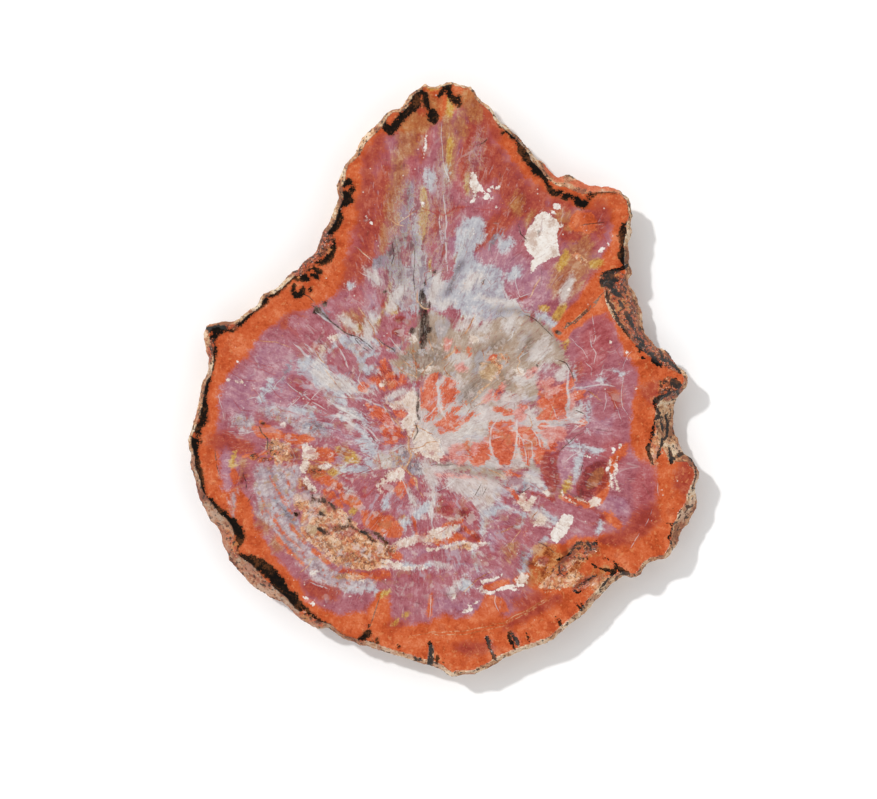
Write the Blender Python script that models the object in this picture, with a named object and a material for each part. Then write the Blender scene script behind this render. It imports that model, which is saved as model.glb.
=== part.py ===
"""A polished slice of petrified wood, lying flat with its polished cut face up.

The slice is one solid. Its outline is the log's own, narrow at the crown and broad below, and the rough
bark stands outside the polished face as a sloping skin. The origin is under the middle of the slice, on
the surface that it lies on, with +Z up and +Y towards the crown.
"""

import math

import bmesh
import bpy
from mathutils import Matrix, Vector, noise

MM = 0.001

# Driving dimensions
THICKNESS = 28.0 * MM
OUTLINE_STEP = 4.3 * MM

# How the bark slopes: the skin drops as it runs out from the polished face, then the wall goes down
EDGE_CHIP = 0.7 * MM
SKIN_SLOPE = 0.85
DEEPEST_SKIN = 0.5 * THICKNESS
CHIP_PLACE = 0.55
CHIP_DROP = 0.42
CHIP_UNEVENNESS = 0.16
UNDERCUT = 1.2 * MM
UNDERCUT_CURVE = 1.4
LEAN_UNDERCUT = 5.0 * MM
LEAN_TOWARDS = Vector((0.8, 0.6))
WALL_LEVELS = (0.82, 0.62, 0.42, 0.22, 0.06)

# Relief of the bark: furrows up the wall, and hollows and ledges across it, all cut in from the silhouette
FURROW_PITCH = 9.5 * MM
FURROW_DEPTH = 3.4 * MM
FURROW_STRETCH = 4.0
LEDGE_PITCH = 17.0 * MM
LEDGE_DEPTH = 3.0 * MM
LEDGE_STRETCH = 0.6
CREASE_GAIN = 2.2
SHELF_WAVER = 1.6 * MM
NORMAL_REACH = 4

# The silhouette seen from above, clockwise, as stretches of (x, y, width of the rough skin) in millimetres
CROWN = (
    (-17, 205, 1), (-13.5, 207.5, 1), (-10, 206, 1), (-4, 206, 1), (0, 208, 1), (8, 209.2, 1),
    (12, 207, 1), (19, 205.8, 1), (22, 203, 1.2), (23.5, 199.5, 1.4), (27, 195.5, 1.5),
    (30.5, 193, 1.5),
)
RIGHT_NECK = (
    (34.5, 189.5, 1.5), (37.5, 185, 1.6), (39, 181.5, 2), (45, 178, 2.4), (48, 174.5, 1.6),
    (51.5, 171.5, 1.4), (57.5, 164.5, 1.4), (61.5, 161, 1.5), (63.5, 157, 2.5), (66, 154.8, 3.8),
    (70.5, 153.2, 4.5), (72.5, 149, 4.5), (79.5, 142.8, 5),
)
RIGHT_SHOULDER = (
    (83, 143.8, 8), (88.5, 145.2, 9.5), (92, 142.8, 9), (99.5, 138, 7), (108, 136.6, 4),
    (118, 135, 2.4), (124, 133, 1.6), (127.5, 129.5, 1.6), (131, 126.5, 1.6), (131.8, 119, 1.6),
    (133, 113, 1.6),
)
RIGHT_BARK = (
    (131, 109, 2.4), (133, 103, 3.2), (130, 96, 2.6), (131, 88, 3), (130.5, 80.5, 3), (133.8, 76, 4.5),
    (129.6, 69, 5.5), (133.5, 63, 9), (136.6, 59.5, 11.5), (138, 53, 13), (141, 47, 14),
    (141.2, 39, 13), (142.6, 33, 11), (148, 26, 9),
)
RIGHT_POINT = (
    (151.8, 22.6, 9), (156.5, 21.4, 9), (161, 15.5, 6.5), (163.2, 11, 4.5), (169.4, 6.8, 2.6),
    (171.4, 2.5, 2.2), (172, -2, 2.6), (170.8, -6, 3.6), (166.5, -11, 6), (163.4, -17, 11),
    (162.4, -25, 13), (162.6, -33, 13), (165.5, -42, 12.5), (169.5, -51.5, 10),
)
LOWER_RIGHT = (
    (173.4, -53.4, 4.5), (177, -59.5, 3), (179.6, -64, 2.6), (178.8, -70, 2.6), (176.8, -77.5, 4),
    (178.9, -82.5, 7.5), (178.6, -90, 9), (174.2, -97, 9.5), (173.2, -101.5, 9.5), (168, -106, 7.5),
    (165.8, -112, 6), (163, -118, 4.5), (156, -126.4, 2.6), (148, -127.2, 2.4), (141, -132, 2.6),
    (137.5, -138.6, 2.6), (133, -139.3, 2.4), (127, -138, 2.8), (121, -142.5, 4), (117.5, -144.2, 5),
)
FOOT = (
    (112, -151, 5), (104, -158.8, 4.5), (100, -164, 3.5), (91, -170.5, 3), (82, -178, 2.6),
    (76.5, -183, 2.6), (66, -187.5, 2.8), (53, -192, 3), (41, -197, 3), (36, -201, 3.4), (27, -205, 3),
    (19, -208, 3), (12, -207.4, 2.8), (4.5, -209, 2.6), (-2, -204, 3), (-11, -201, 3), (-20, -199, 3.4),
    (-24.5, -197, 3.2), (-35, -194, 3), (-43.5, -191, 3), (-54, -187.6, 3), (-59.5, -187.6, 3),
    (-62, -185, 2.4),
)
LOWER_LEFT = (
    (-71, -182.5, 1.6), (-78, -176.6, 1.8), (-82, -174.6, 3), (-87, -176, 4.6), (-91.5, -174.8, 4.8),
    (-95, -172, 4.6), (-100, -169.5, 4), (-108, -162, 3), (-111.5, -158, 3.4), (-119, -155, 6),
    (-127, -151, 8.5), (-133, -147, 9.5), (-142.5, -137.5, 10), (-151, -128, 7.5), (-152.4, -122, 6),
    (-155.8, -116, 8), (-156.2, -111, 9), (-161, -103, 9.5), (-165, -99.5, 8.5), (-169, -90, 6),
    (-173.5, -79, 3.4),
)
LEFT = (
    (-176, -68, 3), (-178.8, -60, 3), (-177.6, -54, 1.8), (-180, -43, 1.6), (-176, -30, 2),
    (-174, -22, 2.4), (-172, -12, 2.4), (-169.6, 0, 2.2), (-166.8, 3.6, 2.6), (-165.6, 13, 3.2),
    (-168, 23, 4.2), (-169.2, 32.5, 3.4),
)
LEFT_SHOULDER = (
    (-166, 38.5, 2.6), (-161.5, 40.2, 2.4), (-153, 41.4, 2.8), (-147, 41.4, 2), (-141, 45.5, 1.6),
    (-134, 51, 1.8), (-131, 53.2, 2), (-128.5, 59.5, 2.4), (-120.5, 63.4, 2), (-116.5, 65.2, 2),
    (-110.5, 72, 2.6), (-107, 76, 2.8), (-103.5, 77.2, 2.8), (-97, 85, 3), (-90.5, 88.5, 2.6),
)
LEFT_NECK = (
    (-87.5, 98, 2.6), (-85, 105, 2.6), (-81, 110.5, 2.8), (-78, 119, 2.8), (-74.6, 127, 2.6),
    (-76, 136, 4), (-72, 144.5, 2.4), (-70.3, 150, 1.6), (-68, 153, 1.4), (-62.5, 158.5, 2.2),
    (-60, 166, 3.6), (-57, 171, 4), (-49.5, 178, 4), (-44, 183, 3), (-41, 187.2, 1.8),
    (-37, 189.6, 1.6), (-32, 190.2, 2.2), (-28.5, 193.5, 2.8), (-26.5, 197.5, 2.4), (-24, 200.5, 1.4),
)
SILHOUETTE = (
    CROWN + RIGHT_NECK + RIGHT_SHOULDER + RIGHT_BARK + RIGHT_POINT + LOWER_RIGHT
    + FOOT + LOWER_LEFT + LEFT + LEFT_SHOULDER + LEFT_NECK
)

# Rough hollows in the polished face: x, y, length, width and depth in millimetres, and turn in degrees
HOLLOWS = {
    "bark_hollow": (122, 52, 34, 12, 2.2, -66),
    "quartz_eye": (67.5, 102.5, 5, 3.6, 1.2, 60),
    "rot_ring": (98, -118.5, 19, 9, 2.4, 8),
    "rot_shelf": (86, -129, 15, 7, 1.4, 40),
    "rust_gash": (99, -143, 19, 5.4, 2.8, 30),
    "broken_knot": (-117, -48, 16, 10, 1.3, -20),
    "crumbled_seam": (-80, -91, 34, 12, 1.1, -42),
    "black_seam": (-49, -108.5, 18, 3.4, 1.4, -22),
    "wide_radial_crack": (33, -187.5, 18, 2.4, 2.2, -70),
    "forked_radial_crack": (50.5, -182, 13, 3.2, 1.8, -66),
    "narrow_radial_crack": (-9, -193.5, 13, 1.9, 1.8, 86),
}
HOLLOW_ROUGHNESS = 0.16
HOLLOW_LUMPS = 2.3

STONE = ("petrified_wood", (0.56, 0.13, 0.06), 0.3)


def clear_scene():
    for obj in list(bpy.data.objects):
        bpy.data.objects.remove(obj)


def new_collection(name):
    made = bpy.data.collections.new(name)
    bpy.context.scene.collection.children.link(made)
    return made


def stone_material():
    name, colour, roughness = STONE
    made = bpy.data.materials.new(name)
    made.use_nodes = True
    shader = made.node_tree.nodes["Principled BSDF"]
    shader.inputs["Base Color"].default_value = (*colour, 1)
    shader.inputs["Roughness"].default_value = roughness
    shader.inputs["Metallic"].default_value = 0
    made.diffuse_color = (*colour, 1)
    return made


def curve_point(before, start, end, after, t):
    """A point on the Catmull-Rom curve from start to end, which passes through both."""
    return 0.5 * (
        2 * start
        + (end - before) * t
        + (2 * before - 5 * start + 4 * end - after) * t**2
        + (3 * start - before - 3 * end + after) * t**3
    )


def smooth_silhouette():
    """The silhouette as evenly spaced (point, skin width) pairs, in metres."""
    given = [Vector(row) * MM for row in SILHOUETTE]
    count = len(given)
    dense = []
    for i in range(count):
        near = [given[(i + k) % count] for k in (-1, 0, 1, 2)]
        pieces = max(2, round((near[2].xy - near[1].xy).length / (OUTLINE_STEP / 4)))
        dense += [curve_point(*near, k / pieces) for k in range(pieces)]
    lengths = [0.0]
    for a, b in zip(dense, dense[1:] + dense[:1]):
        lengths.append(lengths[-1] + (b.xy - a.xy).length)
    total = lengths[-1]
    steps = round(total / OUTLINE_STEP)
    spaced, i = [], 0
    for k in range(steps):
        wanted = total * k / steps
        while lengths[i + 1] < wanted:
            i += 1
        part = (wanted - lengths[i]) / (lengths[i + 1] - lengths[i])
        spaced.append(dense[i].lerp(dense[(i + 1) % len(dense)], part))
    return [(row.xy, row.z) for row in spaced]


def outward_normals(points):
    """The outline's normal at each point, taken over its neighbours so that it turns slowly."""
    count = len(points)
    normals = []
    for i in range(count):
        along = points[(i + NORMAL_REACH) % count] - points[i - NORMAL_REACH]
        normals.append(Vector((-along.y, along.x)).normalized())
    return normals


def crease(point, height, pitch, stretch):
    """0 on the crests and up to 1 in the creases of a ridged pattern, longer up the wall by stretch."""
    at = Vector((point.x / pitch, point.y / pitch, height / (pitch * stretch)))
    return min(1.0, CREASE_GAIN * abs(noise.noise(at)))


def bark_relief(point, height):
    """How far the bark lies behind the silhouette here: furrows run up the wall, and ledges break them."""
    furrow = FURROW_DEPTH * crease(point, height, FURROW_PITCH, FURROW_STRETCH)
    ledge = LEDGE_DEPTH * crease(point, height, LEDGE_PITCH, LEDGE_STRETCH)
    return furrow + ledge


def wall_sections():
    """The rings of the slice from its foot to the polished edge, each a list of 3-D points."""
    outline = smooth_silhouette()
    points = [point for point, skin in outline]
    normals = outward_normals(points)
    sections = [[] for _ in range(len(WALL_LEVELS) + 4)]
    for (point, skin), normal in zip(outline, normals):
        waver = SHELF_WAVER * noise.noise(Vector((*point, 0)) / LEDGE_PITCH)
        drop = min(EDGE_CHIP + SKIN_SLOPE * skin, DEEPEST_SKIN) + abs(waver)
        shelf = THICKNESS - drop
        undercut = UNDERCUT + LEAN_UNDERCUT * max(0.0, normal.dot(LEAN_TOWARDS))
        column = []
        for level in (0.0, *reversed(WALL_LEVELS)):
            height = shelf * level
            leaning = undercut * (1 - level) ** UNDERCUT_CURVE
            inward = leaning + bark_relief(point, height) * (1 - level**3)
            column.append((point - normal * inward, height))
        chipped = CHIP_DROP + CHIP_UNEVENNESS * noise.noise(Vector((*point, 0)) / FURROW_PITCH)
        column.append((point, shelf))
        column.append((point - normal * CHIP_PLACE * skin, THICKNESS - chipped * drop))
        column.append((point - normal * skin, THICKNESS))
        for section, (place, height) in zip(sections, column):
            section.append((place.x, place.y, height))
    return sections


def centre_of(ring_lists):
    """The middle of the slice's box, seen from above."""
    every = [point for ring in ring_lists for point in ring]
    low = [min(point[axis] for point in every) for axis in (0, 1)]
    high = [max(point[axis] for point in every) for axis in (0, 1)]
    return Vector(((low[0] + high[0]) / 2, (low[1] + high[1]) / 2, 0))


def lofted_slice(collection):
    """The whole slice, lofted ring by ring from its foot to the polished face."""
    sections = wall_sections()
    middle = centre_of(sections)
    body = bmesh.new()
    rings = [[body.verts.new(Vector(point) - middle) for point in section] for section in sections]
    for lower, upper in zip(rings, rings[1:]):
        for i in range(len(lower)):
            body.faces.new((lower[i - 1], upper[i - 1], upper[i], lower[i]))
    body.faces.new(rings[0])
    body.faces.new(rings[-1])
    bmesh.ops.recalc_face_normals(body, faces=body.faces)
    mesh = bpy.data.meshes.new("slice")
    body.to_mesh(mesh)
    body.free()
    obj = bpy.data.objects.new("slice", mesh)
    collection.objects.link(obj)
    return obj, middle


def hollow_cutter(name, sizes, middle, collection):
    """A squashed ball with an uneven skin, half sunk in the polished face."""
    x, y, length, width, depth, turn = sizes
    bpy.ops.mesh.primitive_ico_sphere_add(subdivisions=3, radius=1)
    cutter = bpy.context.object
    cutter.name = name
    for vertex in cutter.data.vertices:
        vertex.co *= 1 + HOLLOW_ROUGHNESS * noise.noise(vertex.co * HOLLOW_LUMPS + Vector((x, y, 0)))
    cutter.data.transform(Matrix.Diagonal((length / 2 * MM, width / 2 * MM, depth * MM, 1)))
    cutter.data.transform(Matrix.Rotation(math.radians(turn), 4, "Z"))
    cutter.location = Vector((x * MM, y * MM, THICKNESS)) - middle
    cutter.hide_render = True
    cutter.display_type = "WIRE"
    for old in list(cutter.users_collection):
        old.objects.unlink(cutter)
    collection.objects.link(cutter)
    return cutter


def cut_hollows(obj, middle, collection):
    for name, sizes in HOLLOWS.items():
        modifier = obj.modifiers.new(name, "BOOLEAN")
        modifier.operation = "DIFFERENCE"
        modifier.solver = "EXACT"
        modifier.object = hollow_cutter(name, sizes, middle, collection)


def main():
    clear_scene()
    parts = new_collection("petrified_wood_slice")
    cutters = new_collection("cutters")
    obj, middle = lofted_slice(parts)
    obj.data.materials.append(stone_material())
    cut_hollows(obj, middle, cutters)


main()
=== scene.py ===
"""Dresses a slice of petrified wood: a polished agate face in a rough bark rim, lying on a pale floor."""

import logging
import math
from dataclasses import dataclass, field
from enum import Enum
from functools import partial

import bmesh
import bpy
import numpy as np
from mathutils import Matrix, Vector, noise


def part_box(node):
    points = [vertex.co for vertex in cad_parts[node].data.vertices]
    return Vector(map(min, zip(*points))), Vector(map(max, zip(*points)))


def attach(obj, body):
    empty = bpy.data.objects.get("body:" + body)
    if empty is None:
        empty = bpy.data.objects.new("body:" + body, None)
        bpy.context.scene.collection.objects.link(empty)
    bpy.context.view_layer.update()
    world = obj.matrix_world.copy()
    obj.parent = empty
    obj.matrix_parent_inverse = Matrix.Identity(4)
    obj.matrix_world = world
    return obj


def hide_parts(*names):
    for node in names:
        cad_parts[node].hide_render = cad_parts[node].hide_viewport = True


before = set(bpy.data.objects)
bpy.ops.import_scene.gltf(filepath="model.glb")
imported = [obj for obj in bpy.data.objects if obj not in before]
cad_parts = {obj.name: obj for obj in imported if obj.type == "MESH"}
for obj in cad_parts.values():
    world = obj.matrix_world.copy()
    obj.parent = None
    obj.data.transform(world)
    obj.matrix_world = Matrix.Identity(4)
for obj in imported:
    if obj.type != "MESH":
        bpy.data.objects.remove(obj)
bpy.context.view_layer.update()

MM = 0.001
PHOTO_WIDTH = 877
MM_PER_PIXEL = 0.7
TINY = 1e-9

Point = tuple[float, float]
Points = np.ndarray
Stroke = tuple[float | Point, ...]
Socket = bpy.types.NodeSocket
Links = dict[int | str, object] | tuple[object, ...]


def linear(colour: str) -> tuple[float, float, float, float]:
    """Turns an sRGB hex colour to the linear value a shader takes.

    Args:
        colour: six hex digits after a hash sign.

    Returns:
        Linear red, green, blue and an alpha of one.
    """
    channels = [int(colour[i : i + 2], 16) / 255 for i in (1, 3, 5)]
    red, green, blue = (c / 12.92 if c <= 0.04045 else ((c + 0.055) / 1.055) ** 2.4 for c in channels)
    return red, green, blue, 1.0


def select_only(piece: bpy.types.Object) -> None:
    """Makes one object the only selected and active one.

    Args:
        piece: the object.
    """
    bpy.ops.object.select_all(action="DESELECT")
    piece.select_set(True)
    bpy.context.view_layer.objects.active = piece


@dataclass(frozen=True)
class Tint:
    """One family of colour in the stone.

    Tones run from dark to light. Grain is how far the tone follows the wood's radial grain, 0 for clouds
    and 1 for streaks.
    """

    tones: tuple[str, ...]
    grain: float = 0.3
    contrast: float = 1.0


class Tints(Enum):
    """The minerals that colour the stone, by what the eye calls them."""

    ORANGE = Tint(("#B04822", "#C95A30", "#D3693E", "#E08258"), 0.2, 0.7)
    PLUM = Tint(("#97505A", "#A9636C", "#B26E76", "#BF8A92"), 0.45, 0.8)
    WINE = Tint(("#9A4244", "#AE575A", "#B76668", "#C58486"), 0.45, 0.8)
    DUSK = Tint(("#96848A", "#AA989C", "#BCADB0", "#D0C6C6"), -0.5)
    ROSE = Tint(("#A0667A", "#AC7888", "#BA8892", "#CCA4AA"), 0.45, 0.8)
    BRICK = Tint(("#96382C", "#A84638", "#B05038", "#BE644C"), 0.35)
    AMBER = Tint(("#9C5A32", "#AE6C40", "#B8804C", "#C69A6C"), 0.6)
    OCHRE = Tint(("#A07434", "#BE8E40", "#CCA14C", "#D6B678"), 0.6)
    CHALCEDONY = Tint(("#A39CA6", "#B4B4BB", "#C1C4C8", "#D3D2D3"), 0.6, 0.9)
    SLATE = Tint(("#5E5254", "#7A6E70", "#8A828C", "#9C98A4"), 0.8)
    REEDS = Tint(("#86686A", "#AE746A", "#A8A2AC", "#C2A266", "#BCC0C8", "#A4606A"), 1.0, 1.2)
    TAUPE = Tint(("#9A8271", "#AF9784", "#BCA796", "#CCBCAF"), 0.7, 0.6)
    SHADE = Tint(("#6C5A4E", "#826F61", "#958174", "#A8968A"), 0.7, 0.9)
    ROT = Tint(("#6A341C", "#96552C", "#B4733E", "#CC9766"), 0.2, 1.2)
    TAN = Tint(("#9C7854", "#B4926C", "#C4A582", "#DAC4A6"), 0.3)
    MILK = Tint(("#BCACA4", "#CCC0BA", "#D7CEC9", "#E2DBD6"), 0.6, 0.7)
    VERMILION = Tint(("#BC4A2A", "#CF5E3C", "#D76E4C", "#DF8A70"), 0.5)
    BLUSH = Tint(("#CB6F60", "#D58276", "#DD9A90", "#E3B3AA"), 0.5)
    CREAM = Tint(("#CDB39E", "#DEC9B8", "#E8D8CA", "#F0E6DC"), 0.4)
    SAND = Tint(("#9A5834", "#C48656", "#DA9E70", "#EBC29E"), -0.6, 1.1)
    OXBLOOD = Tint(("#6E2420", "#8A2E28", "#9C3A30", "#AE4A3C"), 0.3)
    KERNEL = Tint(("#93543A", "#A8623F", "#B26E4A", "#BE8462"), 0.3)
    QUARTZ = Tint(("#C9AFA0", "#E0D1C6", "#EAE0D7", "#F0E9E2"), 0.1)
    UMBER = Tint(("#241A14", "#3E2F27", "#5C4C44", "#7D6A5E"), 0.7, 1.3)
    RUST = Tint(("#4A2412", "#7A3A1C", "#A04E26", "#C47C42"), 0.1, 1.2)
    HIDE = Tint(("#8E5A3A", "#C69468", "#DAB48C", "#EAD4B6"), 0.0, 1.2)
    VEIN = Tint(("#B9B4B8", "#CCC9CB", "#DCD7D4", "#E6DDD6"), 0.3)
    SEAM = Tint(("#8E4E28", "#B8764A", "#D2A27C", "#E2C3A2"), 0.3)
    CHERRY = Tint(("#8E2F2C", "#A53D38", "#B44A42", "#C05A50"), 0.3)
    CRACK = Tint(("#2A211D", "#45382F", "#6A5A4E", "#85766A"), 0.3)
    SOOT = Tint(("#0E0906", "#140D08", "#22150C", "#5A341C"), 0.0, 0.8)


@dataclass(frozen=True)
class Marking:
    """Where one tint lies on the cut face, in millimetres from the middle of the slice.

    Loops are closed outlines. Patches are ovals: x, y, length, width and turn in degrees. Strokes are a
    full width and the points of a line that tapers at both ends. Soft is half the width of the border,
    fray how far fine noise moves it, wander how far the whole mark strays from its drawn place, and grow
    how much it is widened all round.
    """

    name: str
    tint: Tints
    soft: float = 1.0
    fray: float = 1.0
    wander: float = 1.5
    strength: float = 1.0
    grow: float = 0.0
    loops: tuple[tuple[Point, ...], ...] = ()
    patches: tuple[tuple[float, ...], ...] = ()
    strokes: tuple[Stroke, ...] = ()


@dataclass(frozen=True)
class Lines(Marking):
    """Thin lines, which are kept by the signed distance to their middle so that they stay sharp."""


HEARTWOOD = Marking(
    "heartwood", Tints.PLUM, soft=3.0, fray=2.2, wander=2.5,
    loops=(
        ((-46, 167), (-36, 172), (-22, 176), (-5, 178), (8, 186), (18, 194), (27, 190), (33, 176),
         (40, 163), (50, 150), (58, 140), (66, 131), (80, 124), (92, 120), (104, 118), (113, 120),
         (117, 108), (116, 96), (112, 84), (106, 74), (98, 62), (88, 50), (80, 42), (76, 33),
         (82, 28), (90, 36), (100, 43), (110, 44), (118, 38), (121, 28), (124, 18), (131, 12),
         (136, 2), (134, -10), (131, -20), (131, -35), (133, -46), (136, -54), (143, -62),
         (148, -78), (146, -92), (142, -103), (128, -108), (112, -108), (100, -112), (88, -116),
         (76, -118), (66, -122), (60, -132), (60, -145), (66, -152), (58, -160), (44, -165),
         (30, -164), (14, -166), (0, -167), (-14, -172), (-28, -174), (-37, -166), (-38, -152),
         (-46, -149), (-54, -162), (-70, -165), (-85, -160), (-98, -152), (-103, -140), (-112, -130),
         (-120, -122), (-126, -112), (-132, -100), (-137, -88), (-143, -78), (-150, -72), (-156, -60),
         (-159, -45), (-158, -30), (-157, -15), (-157, -5), (-152, 3), (-145, 10), (-138, 16),
         (-132, 24), (-126, 34), (-112, 42), (-100, 48), (-88, 52), (-76, 60), (-70, 68), (-66, 80),
         (-62, 95), (-59, 108), (-58, 125), (-56, 140), (-54, 152), (-51, 161)),
    ),
)

ROSE = Marking(
    "rose", Tints.ROSE, soft=4.0, fray=3.0, wander=3.0, strength=0.9,
    patches=(
        (-142, -12, 30, 34, 0), (-112, -8, 60, 40, -25), (-120, 19, 20, 14, 0), (-68, -35, 40, 15, -30),
        (-56, -49, 36, 6, -22), (-55, 12, 18, 12, 0), (-4, 88, 38, 9, 90),
        (8, 100, 34, 11, 85), (35, 86, 32, 22, 20), (50, 74, 26, 26, 0), (63, 68, 28, 18, 80),
        (72, 66, 24, 16, 80), (60, 53, 22, 14, 20), (28, 98, 18, 12, 45), (110, -26, 28, 18, 80),
        (88, -57, 30, 16, 72), (45, -88, 26, 14, -20), (40, -98, 32, 14, 0), (103, 89, 15, 13, 0),
        (-50, 74, 26, 14, -50), (-57, 58, 22, 14, -40), (28, 51, 18, 9, 10), (12, -130, 60, 14, -3),
        (-20, -123, 24, 8, 10), (100, -4, 20, 7, 5), (20, -158, 24, 9, 20), (0, -158, 22, 12, 10),
        (-115, 12, 34, 22, -20), (-150, -62, 16, 30, 0), (118, -88, 24, 14, -20),
        (-30, -90, 24, 12, -20),
        (38, -110, 20, 16, 0),
    ),
)

BRICK = Marking(
    "brick", Tints.BRICK, soft=4.5, fray=3.5, wander=3.0, strength=0.92,
    patches=(
        (-53, 118, 60, 15, 86), (-42, 128, 46, 13, 88), (17, 160, 44, 12, 84),
        (-53, 148, 34, 7, 84), (-46, 162, 22, 9, 60), (36, 178, 24, 9, -62),
        (29, 170, 26, 10, -72), (-48, 104, 24, 14, 60), (-55, 84, 34, 12, 70), (-62, 82, 30, 10, 68),
        (-67, 72, 20, 8, 66),
        (-14, 163, 22, 6, 90), (-6, 112, 26, 7, 88), (2, 117, 26, 4, 10), (48, 134, 50, 22, -62),
        (60, 124, 34, 24, -20), (40, 110, 34, 15, 42), (28, 96, 20, 7, 50), (90, 101, 26, 12, -5),
        (83, 108, 20, 12, 0), (-17, 173, 18, 10, 80),
        (108, 112, 26, 16, 75), (24, 180, 28, 18, -80), (32, 152, 30, 18, 70), (94, 5, 13, 7, 80),
        (22, -188, 30, 10, 5), (-32, -172, 16, 8, 0),
        (62, -163, 44, 9, 28), (140, -100, 32, 20, 42), (126, -109, 44, 12, 15), (148, -10, 24, 16, 0),
        (-148, -45, 32, 14, -12), (-86, -147, 30, 14, -10), (-40, 0, 24, 16, 0), (60, -155, 22, 12, 10),
        (170, -72, 14, 30, 10), (-60, -137, 40, 10, 0), (105, -96, 26, 10, -12), (-108, -60, 8, 10, 0),
        (-20, 186, 16, 10, 60), (82, 120, 18, 14, 20), (118, -14, 20, 14, 80), (-105, 40, 20, 10, 20),
    ),
)

WINE = Marking(
    "wine", Tints.WINE, soft=5.0, fray=3.0, wander=2.5, strength=0.9,
    patches=(
        (-47, 148, 30, 20, 80), (-22, 150, 30, 8, 88), (26, 163, 30, 26, 70), (26, 142, 26, 18, 80),
        (14, 142, 30, 12, 88), (62, 96, 12, 16, 80), (40, 118, 30, 14, 0), (106, 24, 44, 22, 75),
        (-8, 100, 34, 10, 88), (6, 112, 22, 10, 88), (-92, 28, 40, 14, -35), (-60, 92, 30, 12, 80),
        (-10, 168, 22, 8, 88), (104, 96, 20, 16, 70), (140, -78, 44, 18, 85), (120, -52, 20, 20, 0),
        (-60, 60, 24, 10, -60), (-34, 36, 22, 16, 70), (12, -94, 26, 12, -20), (-48, -74, 24, 12, -10),
        (-70, 14, 18, 12, -40), (62, -112, 20, 10, -50), (-90, -16, 26, 10, -30), (46, -106, 16, 10, 0),
    ),
)

AMBER = Marking(
    "amber", Tints.AMBER, soft=5.0, fray=2.5, wander=2.0, strength=0.75,
    patches=(
        (-24, 172, 36, 17, 80), (-31, 147, 46, 9, 89), (-34, 121, 32, 13, 88), (-41, 98, 24, 7, 88),
        (-14, 180, 16, 14, 0), (-8, 192, 16, 10, 80), (4, 163, 52, 10, 90), (19, 190, 22, 16, -70),
        (12, 176, 16, 10, 80), (91, 77, 48, 24, 62), (97, 83, 18, 11, -15), (52, 122, 15, 9, 85),
        (95, 107, 20, 8, 0), (-60, 38, 28, 16, -20), (47, -119, 18, 8, 80), (-114, -112, 20, 12, 60),
        (86, 112, 22, 8, 10), (60, 112, 12, 6, 60), (-140, -64, 22, 5, 80), (-126, -100, 18, 9, -60),
        (-88, -62, 12, 10, 0), (62, -138, 26, 12, 20), (84, -138, 20, 14, 30), (-24, -52, 10, 12, 80),
        (2, 142, 14, 4, 85),
    ),
)

OCHRE = Marking(
    "ochre", Tints.OCHRE, soft=2.0, fray=1.6, wander=1.2, strength=0.9,
    patches=(
        (4.5, 190, 15, 5, -82), (-8, 203.5, 7, 4, 0), (-14, 111, 32, 7, 89),
        (-14, 128, 14, 5, 86), (17, 137, 14, 3.5, 85), (-39, 54, 20, 4, 66),
        (-48, 40, 10, 5, 20), (-10, 77, 15, 4, 84), (-37, 66, 9, 3, 80), (-26, 66, 12, 2.5, 80),
        (-33, 50, 12, 5, 60), (81, 47, 15, 7, 48), (84, 84, 15, 5, 70), (107, 81.5, 10, 5, 20),
        (12, 89, 16, 4, 62), (18, 101, 9, 4, 60), (-67, -53, 19, 9, -25), (-74, -64, 15, 8, 10),
        (-124, -74, 10, 5, 85), (-125, -92, 7, 5, 0), (86, -75, 17, 5, 65), (85, 24, 9, 4, 75),
        (-65, 25, 9, 3, -50), (-57, 19, 7, 3, -40), (-26, -165, 6, 3, 60), (-33, -170, 7, 3, 65),
        (-147, -56, 11, 3, 80), (-60, 36, 8, 5, 0), (4, 160, 22, 3.5, 88),
        (-42, -150, 10, 4, 20), (70, 50, 8, 5, 0), (15, 45, 6, 2, 60),
        (87, 143.5, 8, 4, 20), (-144, -132, 4, 3, 0), (-64, -92, 8, 5, 60), (-30, -97, 8, 4, 60),
    ),
)

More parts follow.
